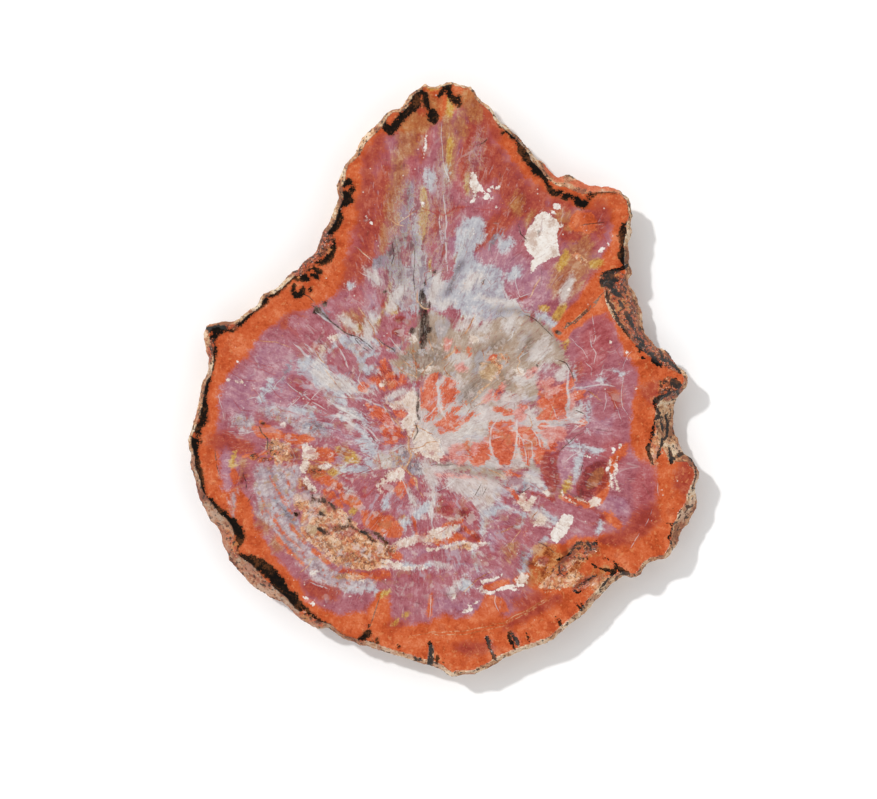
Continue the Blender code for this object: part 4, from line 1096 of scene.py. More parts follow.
@dataclass
class Slab:
    """The slice itself: one piece of stone with a flat polished face, a rough rim and a sawn underside.

    Attributes:
        grid: spacing of the fine surface, in metres.
        weld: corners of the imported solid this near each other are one.
        face_snap: a point this near the face's plane is put on it.
        level_gap: a face of the solid that lies this near that plane belongs to the polished face.
        bark_start: the bark's lumps start this far under the polished face.
        upright: a face whose normal has more than this along Z is level.
        under_share: share of the fine faces left under the slice, where it shows least.
        coarse_bark: height and size of the lumps of the rim.
        fine_bark: height and size of its grit.
        bark_middle: value of the lumps' pattern that leaves the surface where it is.
        crease: two faces that meet at more than this, in degrees, have a sharp edge between them.
        drift: how far the pattern moves sideways through the thickness, as a share of depth.
        drift_way: where to.
        wall_depth: a point deeper than this, in millimetres, is on the wall.
        lowered: a point deeper than this has left the polished face.
        wall_slope: a point whose normal has less than this along Z lies on a slope.
        wall_reach: a slope this near the edge of the face, in millimetres, is the wall's.
        wall_inset: a lowered point this near that edge is the wall's, and counts as this far outside it.
        top: height of the polished face, in metres.
        rim_loops: the edges of the polished face, the outer one first, in millimetres.
    """

    grid: float = 1.3 * MM
    weld: float = 0.01 * MM
    face_snap: float = 0.35 * MM
    level_gap: float = 0.1 * MM
    bark_start: float = 0.3 * MM
    upright: float = 0.99
    under_share: float = 0.12
    coarse_bark: tuple[float, float] = (1.6 * MM, 7.0 * MM)
    fine_bark: tuple[float, float] = (0.7 * MM, 2.4 * MM)
    bark_middle: float = 0.52
    crease: float = 38.0
    drift: float = 0.25
    drift_way: Point = (0.6, -0.8)
    wall_depth: float = 4.0
    lowered: float = 0.15
    wall_slope: float = 0.94
    wall_reach: float = 2.5
    wall_inset: float = 0.6
    top: float = field(init=False)
    rim_loops: list[list[Point]] = field(init=False, default_factory=list)

    def build(self) -> bpy.types.Object:
        """Models the slice and marks it.

        Returns:
            The finished piece, with its place in its mesh.
        """
        piece = self._copy_of_frame()
        self.rim_loops = self._edges_of_face(piece)
        self._make_fine(piece)
        self._flatten(piece)
        self._thin_underside(piece)
        self._roughen_bark(piece)
        self._paint(piece)
        select_only(piece)
        bpy.ops.object.shade_smooth_by_angle(angle=math.radians(self.crease))
        return piece

    def _copy_of_frame(self) -> bpy.types.Object:
        """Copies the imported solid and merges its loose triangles.

        Returns:
            The copy.
        """
        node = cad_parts["slice"]
        piece = bpy.data.objects.new("stone_slice", node.data.copy())
        bpy.context.scene.collection.objects.link(piece)
        piece.data.materials.clear()
        self.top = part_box("slice")[1].z
        select_only(piece)
        bpy.ops.object.mode_set(mode="EDIT")
        bpy.ops.mesh.select_all(action="SELECT")
        bpy.ops.mesh.remove_doubles(threshold=self.weld)
        bpy.ops.object.mode_set(mode="OBJECT")
        return piece

    def _is_face(self, face: bmesh.types.BMFace) -> bool:
        """Tells whether a face of the solid belongs to the polished one."""
        return face.normal.z > self.upright and face.calc_center_median().z > self.top - self.level_gap

    def _edges_of_face(self, piece: bpy.types.Object) -> list[list[Point]]:
        """Finds the closed edges of the polished face.

        Args:
            piece: the copied solid.

        Returns:
            Their points in millimetres, the outer edge first.
        """
        shape = bmesh.new()
        shape.from_mesh(piece.data)
        flat = {face for face in shape.faces if self._is_face(face)}
        nexts = {}
        for edge in shape.edges:
            if sum(face in flat for face in edge.link_faces) == 1:
                for vert in edge.verts:
                    nexts.setdefault(vert, []).append(edge.other_vert(vert))
        loops = []
        while nexts:
            vert = next(iter(nexts))
            loop = []
            while vert in nexts:
                loop.append((vert.co.x / MM, vert.co.y / MM))
                onward = [other for other in nexts.pop(vert) if other in nexts]
                if not onward:
                    break
                vert = onward[0]
            if len(loop) > 3:
                loops.append(loop)
        shape.free()
        return sorted(loops, key=len, reverse=True)

    @staticmethod
    def _modify(piece: bpy.types.Object, name: str, kind: str, **settings: object) -> None:
        """Adds a modifier to a piece and applies it.

        Args:
            piece: the piece.
            name: the modifier's name.
            kind: its type.
            settings: its properties.
        """
        select_only(piece)
        modifier = piece.modifiers.new(name, kind)
        for key, value in settings.items():
            setattr(modifier, key, value)
        bpy.ops.object.modifier_apply(modifier=modifier.name)

    def _make_fine(self, piece: bpy.types.Object) -> None:
        """Covers the slice with an even grid of small faces."""
        self._modify(piece, "even grid", "REMESH", mode="VOXEL", voxel_size=self.grid)

    def _flatten(self, piece: bpy.types.Object) -> None:
        """Puts the polished face and the sawn underside back on their planes.

        Args:
            piece: the slice.
        """
        places = self._places(piece)
        on_top = places[:, 2] > self.top - self.face_snap
        below = places[:, 2] < self.face_snap
        places[on_top, 2] = self.top
        places[below, 2] = 0.0
        self._move(piece, places)

    def _thin_underside(self, piece: bpy.types.Object) -> None:
        """Leaves fewer faces under the slice, where nothing is raised.

        Args:
            piece: the slice.
        """
        group = self._group(piece, self._places(piece)[:, 2] < self.face_snap)
        whole = len(piece.data.polygons)
        flat = sum(polygon.normal.z < -self.upright for polygon in piece.data.polygons)
        ratio = 1 - flat / whole * (1 - self.under_share)
        self._modify(piece, "fewer faces below", "DECIMATE", ratio=ratio, vertex_group=group,
                     vertex_group_factor=1.0)
        piece.vertex_groups.remove(piece.vertex_groups[group])

    def _roughen_bark(self, piece: bpy.types.Object) -> None:
        """Raises lumps and grit on the rim, and leaves the face and the underside flat.

        Args:
            piece: the slice.
        """
        heights = self._places(piece)[:, 2]
        group = self._group(piece, (heights > self.face_snap) & (heights < self.top - self.bark_start))
        for name, (height, size) in (("lumps", self.coarse_bark), ("grit", self.fine_bark)):
            pattern = bpy.data.textures.new(name, "CLOUDS")
            pattern.noise_scale = size
            pattern.noise_depth = 3
            pattern.noise_type = "HARD_NOISE"
            self._modify(piece, name, "DISPLACE", texture=pattern, texture_coords="LOCAL",
                         strength=height, mid_level=self.bark_middle, vertex_group=group)
        piece.vertex_groups.remove(piece.vertex_groups[group])
        low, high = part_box("slice")
        self._move(piece, np.clip(self._places(piece), np.array(low), np.array(high)))

    @staticmethod
    def _group(piece: bpy.types.Object, chosen: Points) -> str:
        """Puts the chosen points of a mesh in a group.

        Args:
            piece: the piece.
            chosen: true for each point of the group.

        Returns:
            The group's name.
        """
        group = piece.vertex_groups.new(name="chosen")
        group.add(np.flatnonzero(chosen).tolist(), 1.0, "REPLACE")
        return group.name

    @staticmethod
    def _places(piece: bpy.types.Object) -> Points:
        """Gives the mesh's points as rows of x, y and z in metres.

        Args:
            piece: the piece.

        Returns:
            The rows.
        """
        places = np.empty(len(piece.data.vertices) * 3)
        piece.data.vertices.foreach_get("co", places)
        return places.reshape(-1, 3)

    @staticmethod
    def _move(piece: bpy.types.Object, places: Points) -> None:
        """Puts the mesh's points at new places, in metres."""
        piece.data.vertices.foreach_set("co", places.ravel())
        piece.data.update()

    @staticmethod
    def _keep(piece: bpy.types.Object, name: str, values: Points) -> None:
        """Stores one number for each point of the mesh under a name."""
        kept = piece.data.attributes.new(name, "FLOAT", "POINT")
        kept.data.foreach_set("value", np.ascontiguousarray(values, np.float32))

    def _paint(self, piece: bpy.types.Object) -> None:
        """Stores how far each point lies inside each marking, the polished face and the underside.

        Args:
            piece: the slice.
        """
        places = self._places(piece)
        depth = (self.top - places[:, 2]) / MM
        seen = places[:, :2] / MM
        painter = Painter(seen + self.drift * depth[:, None] * np.array(self.drift_way))
        for marking in MARKINGS:
            if isinstance(marking, Lines):
                across, past = painter.lines(marking)
                self._keep(piece, marking.name + "_across", across)
                self._keep(piece, marking.name + "_past", past)
            else:
                self._keep(piece, marking.name, painter.area(marking))
        outer, *hollows = self.rim_loops
        rim = painter.inside_loop(seen, tuple(outer))
        dug = np.full(len(places), -painter.reach)
        for hollow in hollows:
            dug = np.maximum(dug, painter.inside_loop(seen, tuple(hollow)))
        normals = np.empty(len(places) * 3)
        piece.data.vertex_normals.foreach_get("vector", normals)
        sloping = (normals[2::3] < self.wall_slope) & (rim < self.wall_reach)
        edge = (depth > self.lowered) & (rim < self.wall_inset)
        on_wall = sloping | edge | (depth > self.wall_depth)
        self._keep(piece, "rim", np.where(on_wall, -np.maximum(np.abs(rim), self.wall_inset), rim))
        self._keep(piece, "dug", np.where(depth < self.wall_depth, dug, -painter.reach))
        self._keep(piece, "sawn", (places[:, 2] < self.face_snap).astype(float))


CLUSTERED = (0.46, 0.54)
LINE_CORE = (1.2, 0.3)
LINE_END = (1.6, 1.2)
LINE_FADE = (0.34, 0.46)
WOOD = (1.0, 6.0)
PATCHY = (0.55, 0.62)
SMOOTH = {"interpolation_type": "SMOOTHSTEP"}
EDGES = {"feature": "DISTANCE_TO_EDGE"}


@dataclass(frozen=True)
class PetrifiedWood:
    """Wood turned to agate, sawn, ground and polished on one face.

    The real thing is microcrystalline quartz, so it shines like glass where it is polished, and is dull and
    gritty where it is sawn, broken or still has its bark. Iron colours it orange, red, plum and ochre, and
    manganese black. Sizes are in millimetres.

    Attributes:
        polished: roughness of the polished face, with its glassy shine.
        worn: roughness of the sandy and crumbled stone in it.
        raw: roughness of bark and sawn stone, which are dull.
        index: refractive index of quartz.
        depth: how far the stone is darkened, because light goes into it.
        dust: colour of the dust in the sawn underside.
        dust_share: how much of it there is.
        fraying: how far noise moves the borders of the markings, against their own measure.
        sharpness: how soft those borders are, against their own measure.
        tone_spread: half the range of noise that runs through a tint's tones.
        cloud_size: size of the slow changes of tone.
        mottle_size: size of the mottle.
        grit_size: size of the finest grain.
        mottle_tone: how far the mottle moves the tone.
        grit_tone: how far the grit does.
        streaked_tone: how much of both the streaked tints have.
        mottle_fray: how far the mottle moves borders.
        grit_fray: how far the grit does.
        cloud_fray: how far the clouds do.
        grain_fray: how far the wood's grain does.
        ring_fray: how far its rings do.
        grain_spread: how many streaks go round the pith.
        grain_length: length of a streak.
        ray_spread: how far patterns on the rays are spread round the pith.
        ring_share: how much the rings change on the way round.
        ring_lines: rings for each millimetre.
        pith: the middle of the rings.
        sway_size: size of the waves in rays and rings.
        sway: how far they go.
        hairline_sway: how far hairlines wave.
        hairline_sway_size: size of their waves.
        hairline_spread: size of the places that have hairlines.
        crystal_spread: size of the places that have crystals.
        halo_fray: how far noise moves the brown halo of the black line.
        hide_fray: how far noise moves the border of the crust.
        hide_border: the crust begins between these distances from the face's edge.
        hide_show: how much of the stone shows through the crust.
        grain_size: size of the breccia's grains.
        outline_fray: how far noise moves their outlines.
        relief: height of the bump where the stone is raw.
        relief_mottle: how much of it is mottle.
        relief_grit: how much of it is grit.
        polished_relief: how much of it is left where the stone is polished.
        relief_strength: strength of the bump.
    """

    polished: float = 0.16
    worn: float = 0.42
    raw: float = 0.72
    index: float = 1.54
    # Painted shade: the whole stone is darkened evenly to offset the strong light that keeps the floor
    # white.
    depth: float = 0.13
    dust: str = "#BFB0A4"
    dust_share: float = 0.28
    fraying: float = 1.1
    sharpness: float = 0.7
    tone_spread: float = 0.15
    cloud_size: float = 15.0
    mottle_size: float = 4.2
    grit_size: float = 1.3
    mottle_tone: float = 0.7
    grit_tone: float = 0.45
    streaked_tone: float = 0.7
    mottle_fray: float = 2.4
    grit_fray: float = 1.8
    cloud_fray: float = 1.6
    grain_fray: float = 4.0
    ring_fray: float = 5.0
    grain_spread: float = 17.7
    grain_length: float = 26.0
    ray_spread: float = 7.75
    ring_share: float = 3.2
    ring_lines: float = 0.22
    pith: Point = (-21.0, -46.0)
    sway_size: float = 45.0
    sway: float = 13.0
    hairline_sway: float = 3.0
    hairline_sway_size: float = 22.0
    hairline_spread: float = 14.0
    crystal_spread: float = 9.0
    halo_fray: float = 2.2
    hide_fray: float = 0.6
    hide_border: tuple[float, float] = (1.5, 0.7)
    hide_show: float = 0.12
    grain_size: float = 1.9
    outline_fray: float = 0.06
    relief: float = 1.2 * MM
    relief_mottle: float = 0.8
    relief_grit: float = 0.5
    polished_relief: float = 0.02
    relief_strength: float = 0.7

    def material(self) -> bpy.types.Material:
        """Makes the stone's material, which reads the distances stored on the mesh."""
        return StoneShader(self).material


def add_node(
    tree: bpy.types.NodeTree, kind: str, links: Links = (), out: int | str = 0, **settings: str
) -> Socket:
    """Adds one node with its settings and links.

    Args:
        tree: the nodes that it joins.
        kind: its type, without the leading ShaderNode.
        links: what goes into its inputs, in their order or by name or number: a socket to link, or a value.
        out: the output to give back, by number or name.
        settings: its own properties.

    Returns:
        That output.
    """
    node = tree.nodes.new("ShaderNode" + kind)
    for name, value in settings.items():
        setattr(node, name, value)
    for name, value in (links if isinstance(links, dict) else dict(enumerate(links))).items():
        if isinstance(value, Socket):
            tree.links.new(value, node.inputs[name])
        else:
            node.inputs[name].default_value = value
    return node.outputs[out]


class StoneShader:
    """Builds the nodes of the stone, one layer of colour over another."""

    def __init__(self, finish: PetrifiedWood) -> None:
        """Starts the material and adds all its nodes.

        Args:
            finish: the measures of the stone.
        """
        self.finish = finish
        self.material = bpy.data.materials.new("polished petrified wood")
        self.material.use_nodes = True
        self.tree = self.material.node_tree
        self.tree.nodes.clear()
        self.add = partial(add_node, self.tree)
        here = self.add("TexCoord", out="Object")
        self.place = self.add("VectorMath", {0: here, "Scale": 1 / MM}, operation="SCALE")
        self._rays_and_rings()
        self._noises()
        self._regions()
        self._build()

    def noise(
        self, size: float, detail: float = 2.0, offset: float = 0.0, place: Socket | None = None
    ) -> Socket:
        """Gives cloudy noise, about 0.5 on average.

        Args:
            size: size of its lumps in millimetres.
            detail: how many finer layers it has.
            offset: moves it to a place of its own.
            place: what it is laid out over, if not the place on the piece.

        Returns:
            Its value.
        """
        spot = place or self.place
        if offset:
            spot = self.add("VectorMath", (spot, (offset, -offset, offset)), operation="ADD")
        links = {"Vector": spot, "Scale": 1 / size, "Detail": detail, "Roughness": 0.55}
        return self.add("TexNoise", links, "Fac")

    def within(self, name: str, low: float, high: float) -> Socket:
        """Reads a distance stored on the mesh against two others.

        Args:
            name: what it is stored under.
            low: the distance that gives 0.
            high: the distance that gives 1, which may be the smaller one.

        Returns:
            A number from 0 to 1, with a smooth change between the two.
        """
        distance = self.add("Attribute", out="Fac", attribute_name=name)
        return self.add("MapRange", (distance, low, high), **SMOOTH)

    def lay(self, under: Socket, over: Socket | str, *shares: Socket | float) -> Socket:
        """Lays one colour over another.

        Args:
            under: the colour below.
            over: the colour above, as a socket or in hex.
            shares: how much of it shows, as numbers that are multiplied.

        Returns:
            Both colours together.
        """
        cover, *others = shares
        for share in others:
            cover = self.add("Math", (cover, share), operation="MULTIPLY")
        top = linear(over) if isinstance(over, str) else over
        return self.add("Mix", {0: cover, 6: under, 7: top}, 2, data_type="RGBA")

    def scatter(self, colour: Socket, flecks: Flecks, pattern: Socket, *shares: Socket | float) -> Socket:
        """Lays flecks over a colour.

        Args:
            colour: the colour below.
            flecks: their colour, and where in the pattern they lie.
            pattern: the pattern's value.
            shares: how much of them shows, as numbers that are multiplied.

        Returns:
            The colour with the flecks.
        """
        cover = self.add("MapRange", (pattern, flecks.low, flecks.high), **SMOOTH)
        return self.lay(colour, flecks.colour, cover, *shares, flecks.share)

    def _rays_and_rings(self) -> None:
        """Makes streaks that run out from the pith, as the wood's rays did, and the rings round it."""
        finish = self.finish
        links = {"Vector": self.place, "Scale": 1 / finish.sway_size, "Detail": 2.0}
        sway = self.add("TexNoise", links, "Color")
        sway = self.add("VectorMath", (sway, (0.5, 0.5, 0.5)), operation="SUBTRACT")
        sway = self.add("VectorMath", {0: sway, "Scale": finish.sway}, operation="SCALE")
        spot = self.add("VectorMath", (self.place, sway), operation="ADD")
        spot = self.add("VectorMath", (spot, (*finish.pith, 0.0)), operation="SUBTRACT")
        flat = self.add("VectorMath", (spot, (1.0, 1.0, 0.0)), operation="MULTIPLY")
        self.out = self.add("VectorMath", (flat,), "Value", operation="LENGTH")
        way = self.add("VectorMath", (flat,), operation="NORMALIZE")
        even = self.add("Math", (self.out, 0.5), operation="POWER")
        even = self.add("Math", (even, finish.ray_spread), operation="MULTIPLY")
        self.rays = self.add("VectorMath", {0: way, "Scale": even}, operation="SCALE")
        around = self.add("VectorMath", {0: way, "Scale": finish.ring_share}, operation="SCALE")
        count = self.add("Math", (self.out, finish.ring_lines), operation="MULTIPLY")
        spot = self.add("VectorMath", (around, self.add("CombineXYZ", {"Z": count})), operation="ADD")
        links = {"Vector": spot, "Scale": 1.0, "Detail": 4.0, "Roughness": 0.6}
        self.rings = self.add("TexNoise", links, "Fac")
        fan = self.add("Math", (self.out, 0.25), operation="POWER")
        fan = self.add("Math", (fan, finish.grain_spread), operation="MULTIPLY")
        way = self.add("VectorMath", {0: way, "Scale": fan}, operation="SCALE")
        lift = self.add("Math", (self.out, finish.grain_length), operation="DIVIDE")
        self.fibres = self.add("VectorMath", (way, self.add("CombineXYZ", {"Z": lift})), operation="ADD")
        links = {"Vector": self.fibres, "Scale": 0.75, "Detail": 3.0, "Roughness": 0.6}
        self.grain = self.add("TexNoise", links, "Fac")

    def _noises(self) -> None:
        """Makes the few noises that all layers share, for their tones and for their borders."""
        finish = self.finish
        cloud = self.noise(finish.cloud_size, 4.0)
        other_cloud = self.noise(finish.cloud_size * 0.6, 4.0, 91.0)
        self.mottle = self.noise(finish.mottle_size, 4.0, 37.0)
        self.grit = self.noise(finish.grit_size, 2.0, 53.0)
        mottled, gritty, broad, grained, ringed = (
            self.add("Math", (value, 0.5), operation="SUBTRACT")
            for value in (self.mottle, self.grit, other_cloud, self.grain, self.rings)
        )
        flecked = self.add("Math", (mottled, finish.mottle_tone), operation="MULTIPLY")
        flecked = self.add("Math", (gritty, finish.grit_tone, flecked), operation="MULTIPLY_ADD")
        self.cloudy_tone = self.add("Math", (flecked, cloud), operation="ADD")
        self.grain_tone, self.ring_tone = (
            self.add("Math", (flecked, finish.streaked_tone, streaks), operation="MULTIPLY_ADD")
            for streaks in (self.grain, self.rings)
        )
        rough = self.add("Math", (gritty, finish.grit_fray), operation="MULTIPLY")
        self.fray_fine = self.add("Math", (mottled, finish.mottle_fray, rough), operation="MULTIPLY_ADD")
        self.fray_broad, self.fray_grain, self.fray_rings = (
            self.add("Math", (value, reach, self.fray_fine), operation="MULTIPLY_ADD")
            for value, reach in (
                (broad, finish.cloud_fray), (grained, finish.grain_fray), (ringed, finish.ring_fray)
            )
        )

    def _regions(self) -> None:
        """Marks off the parts of the stone where flecks may lie."""
        self.wood = self.within("heartwood", *WOOD)
        inner = self.within("heartwood", 2.0, 9.0)
        near = self.add("MapRange", (self.out, 128.0, 84.0), **SMOOTH)
        for share in (near, self.within("umber", 1.0, -1.0)):
            inner = self.add("Math", (inner, share), operation="MULTIPLY")
        heart, milk = (self.add("Attribute", out="Fac", attribute_name=name) for name in ("heart", "milk"))
        pale = self.add("Math", (heart, milk), operation="MAXIMUM")
        darker = self.add("MapRange", (pale, 4.0, -3.0), **SMOOTH)
        self.regions = {
            Region.INNER: inner,
            Region.REDDER: self.add("Math", (inner, darker), operation="MULTIPLY"),
            Region.GREY: self.within("dusk", -2.0, 3.0),
            Region.RIM: self.within("heartwood", -1.0, -6.0),
        }

    def tone(self, tint: Tint) -> Socket:
        """Gives a tint's colour, cloudy or streaked.

        Args:
            tint: the tint.

        Returns:
            The colour, which runs through the tint's tones.
        """
        streaks = self.grain_tone if tint.grain >= 0 else self.ring_tone
        value = self.add("Mix", {0: abs(tint.grain), 2: self.cloudy_tone, 3: streaks}, data_type="FLOAT")
        colour = self.add("ValToRGB", (value,))
        stops = colour.node.color_ramp.elements
        last = len(tint.tones) - 1
        while len(stops) <= last:
            stops.new(0.5)
        for i, (stop, shade) in enumerate(zip(stops, tint.tones)):
            stop.position = 0.5 + self.finish.tone_spread / tint.contrast * (2 * i / last - 1)
            stop.color = linear(shade)
        return colour

    def area(self, marking: Marking) -> Socket:
        """Gives the cover of a marking's areas, with a frayed border.

        Args:
            marking: the marking.

        Returns:
            Its strength inside, 0 outside.
        """
        grain = marking.tint.value.grain
        fray = self.fray_grain if grain >= 0.5 else self.fray_broad
        if grain < 0:
            fray = self.fray_rings
        if marking.soft < 1:
            fray = self.fray_fine
        distance = self.add("Attribute", out="Fac", attribute_name=marking.name)
        reach = marking.fray * self.finish.fraying
        moved = self.add("Math", (fray, reach, distance), operation="MULTIPLY_ADD")
        border = marking.soft * self.finish.sharpness
        cover = self.add("MapRange", (moved, -border, border), **SMOOTH)
        return self.add("Math", (cover, marking.strength), operation="MULTIPLY")

    def line(self, marking: Lines) -> Socket:
        """Gives the cover of a marking's thin lines, which fade here and there.

        Args:
            marking: the marking.

        Returns:
            Its strength on the lines, 0 elsewhere.
        """
        across, past = (
            self.add("Attribute", out="Fac", attribute_name=marking.name + end)
            for end in ("_across", "_past")
        )
        across = self.add("Math", (across,), operation="ABSOLUTE")
        across = self.add("Math", (self.fray_fine, marking.fray, across), operation="MULTIPLY_ADD")
        cover: Socket | float = marking.strength
        for value, (none, full) in ((across, LINE_CORE), (past, LINE_END), (self.mottle, LINE_FADE)):
            share = self.add("MapRange", (value, none, full), **SMOOTH)
            cover = self.add("Math", (share, cover), operation="MULTIPLY")
        return cover

    def drifts(self, colour: Socket) -> Socket:
        """Adds ragged islands of paler, bluer and redder stone round the pith, in the grey arc and the rim.

        Args:
            colour: the stone without them.

        Returns:
            The stone with them.
        """
        for flecks in DRIFTS:
            place = self.rays if flecks.on_rays else self.place
            clumps = self.noise(flecks.size, 4.0, flecks.seed, place)
            colour = self.scatter(colour, flecks, clumps, self.regions[flecks.region])
        return colour

    def streaks(self, colour: Socket) -> Socket:
        """Adds the finest rays, a little paler or darker than the stone round them.

        Args:
            colour: the stone without them.

        Returns:
            The stone with them.
        """
        links = {"Vector": self.fibres, "Scale": 1.3, "Detail": 3.0, "Roughness": 0.6}
        fine = self.add("TexNoise", links, "Fac")
        for flecks in STREAKS:
            colour = self.scatter(colour, flecks, fine, self.wood)
        return colour

    def hairlines(self, colour: Socket) -> Socket:
        """Adds the net of healed cracks, drawn out along the wood's rays.

        Args:
            colour: the stone without them.

        Returns:
            The stone with them.
        """
        finish = self.finish
        links = {"Vector": self.place, "Scale": 1 / finish.hairline_sway_size, "Detail": 1.0}
        sway = self.add("TexNoise", links, "Color")
        sway = self.add("VectorMath", {0: sway, "Scale": finish.hairline_sway}, operation="SCALE")
        spot = self.add("VectorMath", (self.rays, sway), operation="ADD")
        for flecks in HAIRLINES:
            moved = self.add("VectorMath", (spot, (flecks.seed, flecks.seed, 0.0)), operation="ADD")
            edge = self.add("TexVoronoi", {"Vector": moved, "Scale": 1 / flecks.size}, "Distance", **EDGES)
            spread = self.noise(finish.hairline_spread, 3.0, flecks.seed + 11.0)
            here = self.add("MapRange", (spread, *PATCHY), **SMOOTH)
            colour = self.scatter(colour, flecks, edge, here, self.wood)
        return colour

    def crystals(self, colour: Socket) -> Socket:
        """Adds tiny crystals and pits.

        Args:
            colour: the stone without them.

        Returns:
            The stone with them.
        """
        for flecks in CRYSTALS:
            moved = self.add("VectorMath", (self.place, (flecks.seed, 0.0, 0.0)), operation="ADD")
            near = self.add("TexVoronoi", {"Vector": moved, "Scale": 1 / flecks.size}, "Distance")
            spread = self.noise(self.finish.crystal_spread, 2.0, flecks.seed)
            here = self.add("MapRange", (spread, *PATCHY), **SMOOTH)
            colour = self.scatter(colour, flecks, near, here)
        return colour

    def breccia(self, colour: Socket, cover: Socket) -> Socket:
        """Breaks the sandy stone into grains with dark outlines and gaps.

        Args:
            colour: the stone without them.
            cover: where the sandy stone is.

        Returns:
            The stone with them.
        """
        links = {"Vector": self.place, "Scale": 1 / self.finish.grain_size}
        grains = self.add("TexVoronoi", links, "Color")
        split = self.add("SeparateColor", (grains,)).node.outputs
        colour = self.scatter(colour, RED_GRAINS, split[0], cover)
        colour = self.scatter(colour, PALE_GRAINS, split[1], cover)
        links = {"Vector": self.place, "Scale": 1 / GRAIN_OUTLINES.size}
        edge = self.add("TexVoronoi", links, "Distance", **EDGES)
        edge = self.add("Math", (self.fray_fine, self.finish.outline_fray, edge), operation="MULTIPLY_ADD")
        here = self.add("MapRange", (self.noise(7.0, 2.0, 61.0), *CLUSTERED), **SMOOTH)
        colour = self.scatter(colour, GRAIN_OUTLINES, edge, here, cover)
        return self.scatter(colour, GRAIN_GAPS, self.noise(GRAIN_GAPS.size, 4.0, GRAIN_GAPS.seed), cover)

    def scorched(self, colour: Socket, cover: Socket) -> Socket:
        """Breaks the rusty crust into black, tan and pink crumbs.

        Args:
            colour: the stone without them.
            cover: where the crust is.

        Returns:
            The stone with them.
        """
        for flecks in CRUMBS:
            colour = self.scatter(colour, flecks, self.noise(flecks.size, 3.0, flecks.seed), cover)
        return colour

    def bark(self, under: Socket) -> Socket:
        """Gives the crust of the rim: tan and salmon, stained brown, darker towards the lower left, with
        black specks.

        Args:
            under: the stone under it, which shows through a little.

        Returns:
            The crust's colour.
        """
        crust = self.tone(Tints.HIDE.value)
        crust = self.scatter(crust, CRUST_STAIN, self.noise(CRUST_STAIN.size, 3.0, CRUST_STAIN.seed))
        parts = self.add("SeparateXYZ", (self.place,)).node.outputs
        diagonal = self.add("Math", (parts["X"], parts["Y"]), operation="ADD")
        # The crust gets darker towards the lower left.
        crust = self.scatter(crust, LOWER_LEFT_DARKENING, diagonal)
        crust = self.lay(crust, under, self.finish.hide_show)
        return self.scatter(crust, CRUST_SPECKS, self.noise(CRUST_SPECKS.size, 4.0, CRUST_SPECKS.seed))

    def _build(self) -> None:
        """Lays all the layers and sets the shine and the relief."""
        finish = self.finish
        edge = self.add("Attribute", out="Fac", attribute_name="rim")
        edge = self.add("Math", (self.fray_fine, finish.hide_fray, edge), operation="MULTIPLY_ADD")
        hide = self.add("MapRange", (edge, *finish.hide_border), **SMOOTH)
        colour = self.tone(Tints.ORANGE.value)
        rough: Socket | float = finish.polished
        for marking in MARKINGS:
            if marking is VEINS:
                colour = self.hairlines(self.streaks(self.drifts(colour)))
            if marking is SOOT:
                colour = self.crystals(colour)
                halo = self.add("Attribute", out="Fac", attribute_name=marking.name)
                halo = self.add("Math", (self.fray_fine, finish.halo_fray, halo), operation="MULTIPLY_ADD")
                colour = self.scatter(colour, SOOT_HALO, halo)
            cover = self.line(marking) if isinstance(marking, Lines) else self.area(marking)
            colour = self.lay(colour, self.tone(marking.tint.value), cover)
            if marking in (SAND, QUARTZ, RUST):
                rough = self.add("Mix", {0: cover, 2: rough, 3: finish.worn}, data_type="FLOAT")
            if marking is SAND:
                colour = self.breccia(colour, cover)
            if marking is SOOT:
                colour = self.lay(colour, self.bark(colour), hide)
                rough = self.add("Mix", {0: hide, 2: rough, 3: finish.raw}, data_type="FLOAT")
            if marking is RUST:
                colour = self.scorched(colour, cover)
        dug = self.within("dug", -0.2, 0.8)
        sawn = self.add("Attribute", out="Fac", attribute_name="sawn")
        for share, roughness in ((dug, finish.worn), (sawn, finish.raw)):
            rough = self.add("Mix", {0: share, 2: rough, 3: roughness}, data_type="FLOAT")
        colour = self.lay(colour, finish.dust, sawn, finish.dust_share)
        # Painted shade: the whole colour is darkened evenly to offset the strong light that keeps the floor
        # white.
        colour = self.lay(colour, "#000000", finish.depth)
        coarse = self.add("Math", (hide, dug), operation="MAXIMUM")
        coarse = self.add("Math", (coarse, sawn), operation="MAXIMUM")
        raised = self.add("Mix", {0: coarse, 2: finish.polished_relief, 3: 1.0}, data_type="FLOAT")
        height = self.add("Math", (self.grit, finish.relief_grit), operation="MULTIPLY")
        height = self.add("Math", (self.mottle, finish.relief_mottle, height), operation="MULTIPLY_ADD")
        height = self.add("Math", (height, raised), operation="MULTIPLY")
        links = {"Strength": finish.relief_strength, "Distance": finish.relief, "Height": height}
        bump = self.add("Bump", links)
        links = {"Base Color": colour, "Roughness": rough, "IOR": finish.index, "Normal": bump}
        shader = self.add("BsdfPrincipled", links)
        output = self.tree.nodes.new("ShaderNodeOutputMaterial")
        self.tree.links.new(shader, output.inputs["Surface"])


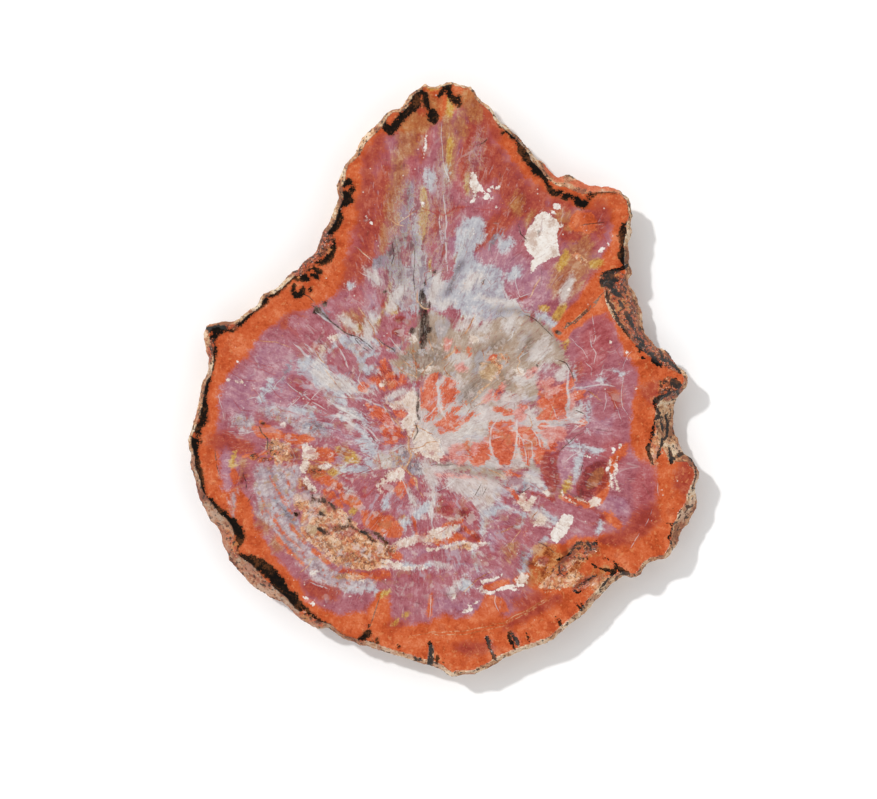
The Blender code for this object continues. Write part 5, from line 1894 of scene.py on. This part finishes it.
@dataclass
class Studio:
    """A plain pale floor, soft light from all round, a sun from the upper left and the camera above.

    Attributes:
        floor_side: side of the floor, in metres.
        floor_drop: how far it lies under the slice.
        paper: its colour.
        paper_roughness: how dull it is.
        paper_shine: how strongly it mirrors light.
        height: camera above the polished face, in metres.
        sensor: width of the camera's sensor, in millimetres.
        centre: the point under the camera, in millimetres.
        sun_elevation: height of the sun in degrees.
        sun_azimuth: where it stands, in degrees from +X.
        sun_spread: how wide it looks, in degrees, which softens the shadow's edge.
        sun_strength: its light.
        sky: brightness of the sky at heights from 0 at the horizon to 1 straight above.
        sky_strength: light of the whole sky.
    """

    floor_side: float = 12.0
    floor_drop: float = 0.05 * MM
    paper: str = "#FAFAFA"
    paper_roughness: float = 0.9
    paper_shine: float = 0.1
    height: float = 2.0
    sensor: float = 36.0
    centre: Point = (-3.5, -14.1)
    sun_elevation: float = 47.5
    sun_azimuth: float = 140.5
    sun_spread: float = 3.2
    sun_strength: float = 1.72
    sky: tuple[Point, ...] = ((0.0, 0.6), (0.35, 1.0), (0.86, 1.0), (0.975, 0.08))
    sky_strength: float = 0.93

    def build(self, top: float) -> None:
        """Sets up floor, light and camera.

        Args:
            top: height of the polished face, in metres.
        """
        self._floor()
        self._sun()
        self._sky()
        self._camera(top)

    def _floor(self) -> None:
        """Lays the floor just under the slice."""
        bpy.ops.object.select_all(action="DESELECT")
        bpy.ops.mesh.primitive_plane_add(size=self.floor_side, location=(0, 0, -self.floor_drop))
        floor = bpy.context.active_object
        floor.name = "floor"
        paper = bpy.data.materials.new("matt white paper")
        paper.use_nodes = True
        shader = paper.node_tree.nodes["Principled BSDF"]
        shader.inputs["Base Color"].default_value = linear(self.paper)
        shader.inputs["Roughness"].default_value = self.paper_roughness
        shader.inputs["Specular IOR Level"].default_value = self.paper_shine
        floor.data.materials.append(paper)

    def _sun(self) -> None:
        """Hangs the one strong light, which draws the shadow to the lower right."""
        lamp = bpy.data.lights.new("sun", "SUN")
        lamp.energy = self.sun_strength
        lamp.angle = math.radians(self.sun_spread)
        sun = bpy.data.objects.new("sun", lamp)
        turn = math.radians(self.sun_azimuth)
        rise = math.radians(self.sun_elevation)
        flat = math.cos(rise)
        towards = Vector((flat * math.cos(turn), flat * math.sin(turn), math.sin(rise)))
        sun.rotation_euler = towards.to_track_quat("Z", "Y").to_euler()
        bpy.context.scene.collection.objects.link(sun)

    def _sky(self) -> None:
        """Gives pale light from all sides, weaker straight above so that the polish stays clear."""
        world = bpy.data.worlds.new("studio")
        bpy.context.scene.world = world
        world.use_nodes = True
        tree = world.node_tree
        way = add_node(tree, "TexCoord", out="Generated")
        height = add_node(tree, "SeparateXYZ", (way,), "Z")
        colour = add_node(tree, "ValToRGB", (height,))
        stops = colour.node.color_ramp.elements
        for place, _ in self.sky[1:-1]:
            stops.new(place)
        for stop, (place, light) in zip(stops, self.sky):
            stop.position = place
            stop.color = (light, light, light, 1.0)
        back = tree.nodes["Background"]
        tree.links.new(colour, back.inputs["Color"])
        back.inputs["Strength"].default_value = self.sky_strength

    def _camera(self, top: float) -> None:
        """Points the camera straight down, so that a pixel spans the same as in the photograph.

        Args:
            top: height of the polished face, in metres.
        """
        lens = bpy.data.cameras.new("camera")
        lens.sensor_width = self.sensor
        lens.lens = self.sensor * self.height / (PHOTO_WIDTH * MM_PER_PIXEL * MM)
        camera = bpy.data.objects.new("camera", lens)
        x, y = self.centre
        camera.location = (x * MM, y * MM, top + self.height)
        bpy.context.scene.collection.objects.link(camera)
        bpy.context.scene.camera = camera


def main() -> None:
    """Builds the slice and the studio, and reports each piece."""
    logging.basicConfig(level=logging.INFO, format="%(message)s")
    log = logging.getLogger("slice")
    slab = Slab()
    piece = slab.build()
    piece.data.materials.append(PetrifiedWood().material())
    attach(piece, "root")
    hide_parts("slice")
    triangles = sum(len(polygon.vertices) - 2 for polygon in piece.data.polygons)
    log.info("%s: %d triangles, %d edges of the polished face", piece.name, triangles, len(slab.rim_loops))
    Studio().build(slab.top)
    bpy.context.scene.view_settings.view_transform = "Standard"
    bpy.context.view_layer.update()


if __name__ == "__main__":
    main()
